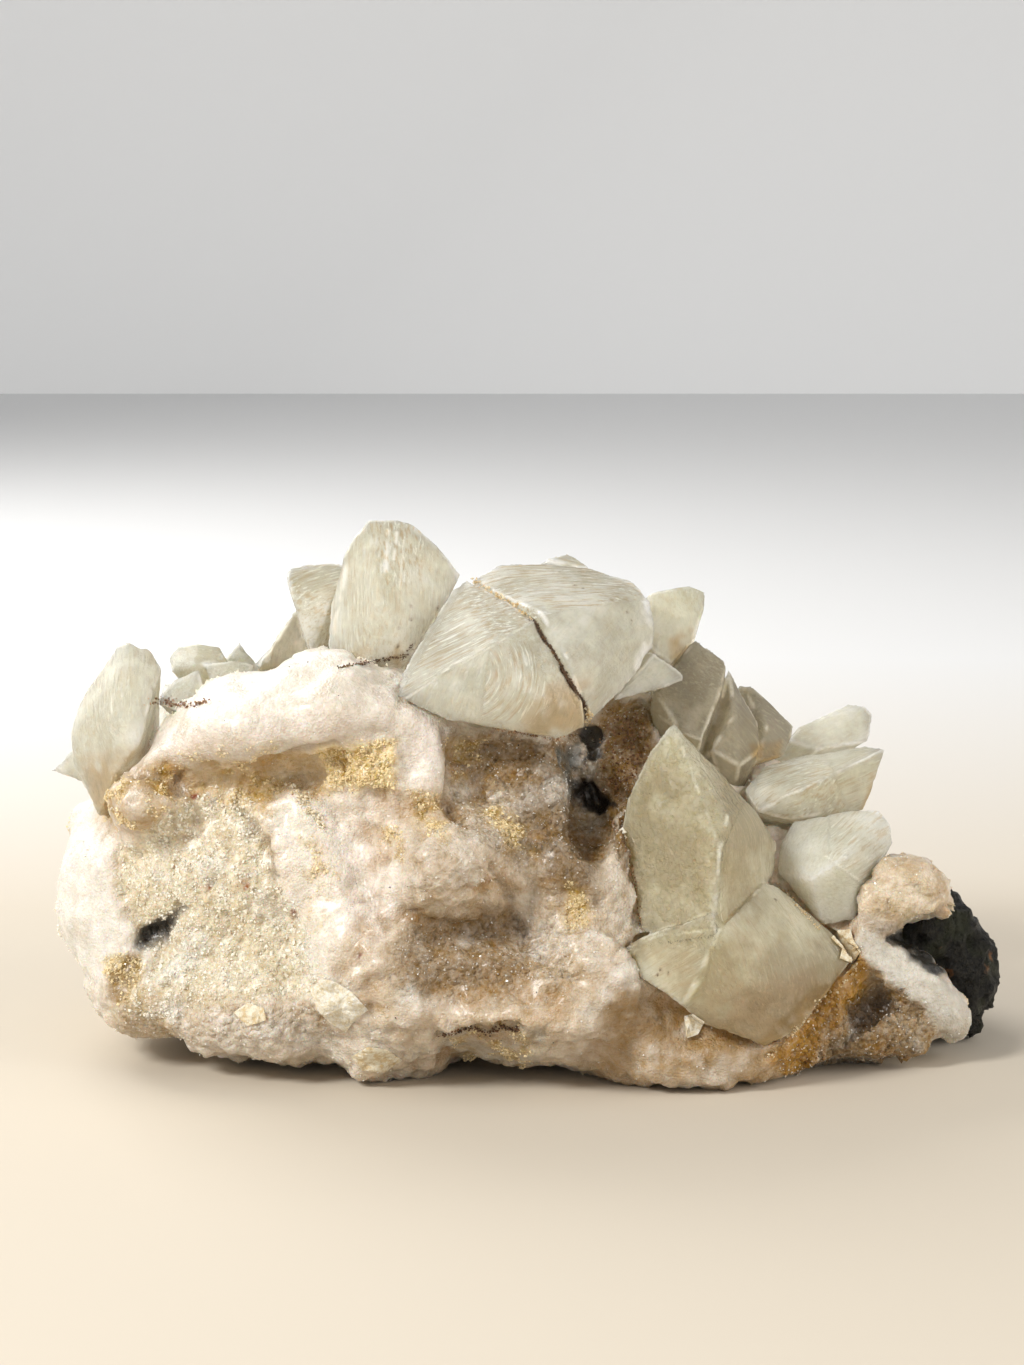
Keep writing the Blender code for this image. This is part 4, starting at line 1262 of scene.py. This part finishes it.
STAGE_SIZE = 8
FLOOR_NEAR = (0.60, 0.54, 0.45)
FLOOR_FAR = (0.75, 0.755, 0.76)
BACKDROP_PLACE = (0, 1.4, 0)
BACKDROP_COLOUR = (0.88, 0.885, 0.89)
ROOM_COLOUR = (0.97, 0.98, 1.0, 1)
ROOM_STRENGTH = 0.38
# The place of each light, its size, its power in watts and its colour.
LIGHTS = {
    "window": ((-0.64, -0.55, 0.66), 0.24, 8.8, (1.0, 0.98, 0.94)),
    "window_behind": ((-0.5, 0.6, 0.6), 0.6, 7, (1.0, 0.98, 0.95)),
    "room_side": ((0.9, -0.30, 0.5), 0.8, 6.5, (1.0, 0.95, 0.88)),
}


def studio():
    floor = stage_material("floor", FLOOR_NEAR, FLOOR_FAR)
    stage_plane("floor", STAGE_SIZE, (0, 0, 0), (0, 0, 0), floor)
    backdrop = stage_material("backdrop", BACKDROP_COLOUR, BACKDROP_COLOUR)
    stage_plane("backdrop", STAGE_SIZE, BACKDROP_PLACE, (math.pi / 2, 0, 0), backdrop)
    world = bpy.data.worlds.new("room")
    world.use_nodes = True
    background = world.node_tree.nodes["Background"]
    background.inputs["Color"].default_value = ROOM_COLOUR
    background.inputs["Strength"].default_value = ROOM_STRENGTH
    bpy.context.scene.world = world
    for name, (place, size, power, colour) in LIGHTS.items():
        area_light(name, place, size, power, colour)
    photo_camera()
    bpy.context.scene.view_settings.view_transform = "Standard"


STRIA_LENGTH = 9
STREAKY_AT_REST = 0.25

# Faces whose striae run their own way: the face's outline and a line along them in pixels, or the one point
# that they curve about, and how strongly they show.
STRIAE = {
    "twin_crystal": (
        ([(468, 576), (396, 700), (440, 677), (500, 641), (535, 620), (500, 596)], [(418, 690), (500, 643)],
         1.0),
        ([(396, 700), (440, 677), (500, 641), (535, 620), (590, 715), (560, 745), (440, 735)], [(508, 718),
          (530, 665)], 0.3),
        ([(490, 645), (530, 640), (555, 700), (530, 725), (480, 720)], [(465, 672)], 0.9),
        ([(468, 576), (500, 596), (535, 620), (560, 612), (640, 600), (660, 560), (480, 550)], [(500, 590),
          (620, 582)], 1.0),
        ([(560, 612), (640, 600), (665, 640), (590, 735), (540, 625)], [(597, 710), (648, 650)], 0.15),
    ),
    "tall_crystal": (
        ([(360, 510), (470, 560), (465, 600), (400, 670), (330, 680), (330, 600)], [(388, 535), (384, 640)],
         0.5),
        ([(376, 520), (420, 520), (430, 580), (380, 590)], [(388, 535), (384, 640)], 1.0),
    ),
    "front_crystals": (
        ([(685, 715), (745, 800), (722, 850), (715, 950), (640, 950), (620, 850), (640, 770)], [(650, 800),
          (705, 806)], 0.2),
        ([(620, 950), (715, 935), (700, 1010), (660, 1000)], [(640, 980), (700, 945)], 0.3),
    ),
    "sloping_crystal": (
        ([(750, 820), (760, 760), (830, 760), (850, 815), (800, 830)], [(768, 806), (826, 778)], 0.8),
        ([(830, 765), (890, 745), (885, 790), (850, 815)], [(845, 778), (880, 762)], 0.5),
    ),
    "round_crystal": (
        ([(830, 800), (900, 810), (895, 860), (860, 885), (828, 858)], [(838, 862), (885, 826)], 0.7),
    ),
    "twin_peak_crystal": (([(530, 545), (640, 545), (640, 600), (530, 600)], [(545, 560), (600, 575)], 0.6),),
    "pillar_crystal": (([(280, 560), (350, 560), (350, 660), (280, 660)], [(300, 585), (330, 575)], 0.8),),
}

# White ridges and rims, worn, and on the broad ones a painted glow of light through the thin edge: the line
# in pixels, its width in millimetres and how strongly it shows.
WHITE_RIMS_AND_PAINTED_GLOW = {
    "twin_crystal": (
        # Painted highlight: the glow of light through the twin's thin right rim.
        ([(618, 575), (636, 586), (646, 604), (649, 625), (647, 650), (636, 672)], 3.4, 1.0),
        ([(403, 700), (440, 676), (500, 641), (530, 622)], 0.45, 0.7),
        ([(398, 700), (410, 712), (440, 724), (470, 728)], 1.2, 0.8),
    ),
    "tall_crystal": (
        ([(345, 570), (336, 620), (333, 655)], 2.0, 0.7),
        ([(415, 528), (445, 553), (462, 580)], 1.6, 0.8),
        ([(388, 530), (386, 572)], 0.9, 0.9),
        ([(397, 532), (394, 560)], 0.7, 0.8),
        ([(404, 540), (400, 590)], 0.6, 0.6),
    ),
    "front_crystals": (
        ([(718, 850), (720, 880), (722, 930)], 0.7, 0.8),
        ([(620, 952), (660, 935), (712, 930)], 0.5, 0.6),
    ),
    "sloping_crystal": (
        ([(760, 812), (775, 800), (800, 790), (825, 777), (850, 765), (884, 748)], 0.5, 0.8),
        ([(808, 762), (828, 775), (835, 790), (843, 808)], 0.4, 0.8),
    ),
    "round_crystal": (
        ([(862, 808), (886, 816), (896, 838), (893, 858)], 1.8, 1.0),
        ([(826, 856), (842, 868), (862, 882)], 0.45, 0.9),
        ([(836, 862), (850, 846), (872, 832)], 0.35, 0.7),
        ([(845, 868), (862, 858), (884, 850)], 0.35, 0.7),
    ),
    "wedge_crystal": (([(652, 652), (668, 664), (680, 672)], 1.2, 0.9),),
}
SEAMS = {"twin_crystal": TWIN_SEAM_PALE + TWIN_SEAM_DARK + TWIN_SEAM_FOOT}
SPECKS = {
    "twin_crystal": [(510, 653), (627, 612), (632, 620), (575, 585), (583, 588), (560, 572), (497, 600)],
    "tall_crystal": [(411, 606), (411, 620), (399, 628), (438, 608), (398, 646)],
    "front_crystals": [(657, 975), (660, 970), (668, 973), (836, 985), (775, 900)],
}
STAINS = {
    "twin_crystal": (([(540, 690), (588, 680), (592, 735), (520, 740)], 30, 0.8),),
    "tall_crystal": (([(330, 655), (400, 645), (400, 665), (335, 672)], 14, 1.0),),
    "front_crystals": (
        ([(862, 950), (862, 975), (815, 1015), (770, 1062), (755, 1050), (800, 1000)], 18, 1.0),
        ([(720, 1010), (770, 990), (830, 970), (800, 1020), (760, 1060), (700, 1040)], 50, 0.55),
    ),
    "left_end_crystal": (([(85, 760), (150, 745), (130, 830), (90, 820)], 24, 0.8),),
    "crested_crystal": (([(670, 640), (690, 630), (692, 668), (672, 665)], 12, 1.0),),
    "ridge_crystals": (([(750, 745), (782, 740), (780, 768), (752, 768)], 8, 1.0),),
    "sloping_crystal": (([(872, 775), (886, 775), (872, 815), (860, 815)], 8, 1.0),),
}
SCALES = {
    "front_crystals": [(680, 720), (745, 800), (725, 850), (722, 950), (650, 945), (628, 850), (640, 770)],
}

REAR_LOOK = {"cell": 0.65, "sharp": 38, "rounding": 8, "ripple": 0.09, "chip": 0.3, "finish": "clear"}
CRYSTAL_LOOKS = {
    "twin_crystal": {"cell": 0.45, "sharp": 50, "rounding": 90, "ripple": 0.08},
    "tall_crystal": {"cell": 0.45, "sharp": 45, "rounding": 80, "ripple": 0.06},
    "front_crystals": {"cell": 0.5, "sharp": 42, "rounding": 50, "ripple": 0.06, "finish": "honey"},
    "round_crystal": {"cell": 0.45, "sharp": 50, "rounding": 40, "ripple": 0.05, "finish": "milky"},
    "sloping_crystal": {"cell": 0.45, "sharp": 38, "rounding": 30, "finish": "warm"},
    "wedge_crystal": {"cell": 0.45, "rounding": 20, "finish": "warm"},
    "ridge_crystals": {"cell": 0.5, "sharp": 34, "rounding": 16, "finish": "grey"},
    "crested_crystal": {"cell": 0.5, "sharp": 45, "rounding": 50, "finish": "warm"},
    "pillar_crystal": {"cell": 0.5, "sharp": 45, "rounding": 50},
    "grey_crystal": {"cell": 0.5, "sharp": 38, "rounding": 16, "finish": "grey"},
    "left_end_crystal": {"cell": 0.5, "sharp": 55, "rounding": 110, "ripple": 0.2},
    "spur_crystal": {"cell": 0.5},
    "hollow_chip_crystal": {"cell": 0.4, "ripple": 0.06, "chip": 0.15},
    "hollow_crystals": {"cell": 0.5, "rounding": 10, "finish": "warm"},
    "twin_peak_crystal": {"cell": 0.5, "rounding": 30},
    "far_right_crystal": {"cell": 0.5, "sharp": 45, "rounding": 40},
}


def main():
    calcite = {
        "clear": calcite_material("calcite", (1.0, 0.925, 0.76), (1.0, 0.98, 0.91), 0.66, 2.5),
        "warm": calcite_material("warm_calcite", (1.0, 0.92, 0.73), (1.0, 0.97, 0.87), 0.66, 3),
        "milky": calcite_material("milky_calcite", (1.0, 0.92, 0.76), (1.0, 0.97, 0.88), 0.4, 2),
        "honey": calcite_material("honey_calcite", (1.0, 0.84, 0.58), (1.0, 0.92, 0.76), 0.68, 6),
        "grey": calcite_material("grey_calcite", (0.72, 0.65, 0.47), (0.86, 0.82, 0.70), 0.74, 20),
    }
    mass, marks = chalcedony_mass(chalcedony_material())
    grain = grain_shape()
    dress_mass(mass, marks, grain)
    basalt_piece(basalt_material())
    nodes = [node for node in sorted(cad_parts) if node not in ("chalcedony_body", "basalt_remnant")]
    for seed, node in enumerate(nodes):
        look = REAR_LOOK | CRYSTAL_LOOKS.get(node, {})
        piece = crystal(node, look, calcite[look["finish"]], seed)
    trees = [tree_of(piece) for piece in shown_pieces()]
    crumb_lines(grain, trees)
    flake_looks = {
        "gold": flake_material("golden_flake", (0.66, 0.50, 0.28), (0.90, 0.83, 0.66)),
        "pale": flake_material("pale_flake", (0.74, 0.63, 0.44), (0.92, 0.88, 0.77)),
    }
    for name, (outline, stand_off, look) in FLAKES.items():
        flake(name, outline, stand_off, trees, flake_looks[look])
    studio()


main()
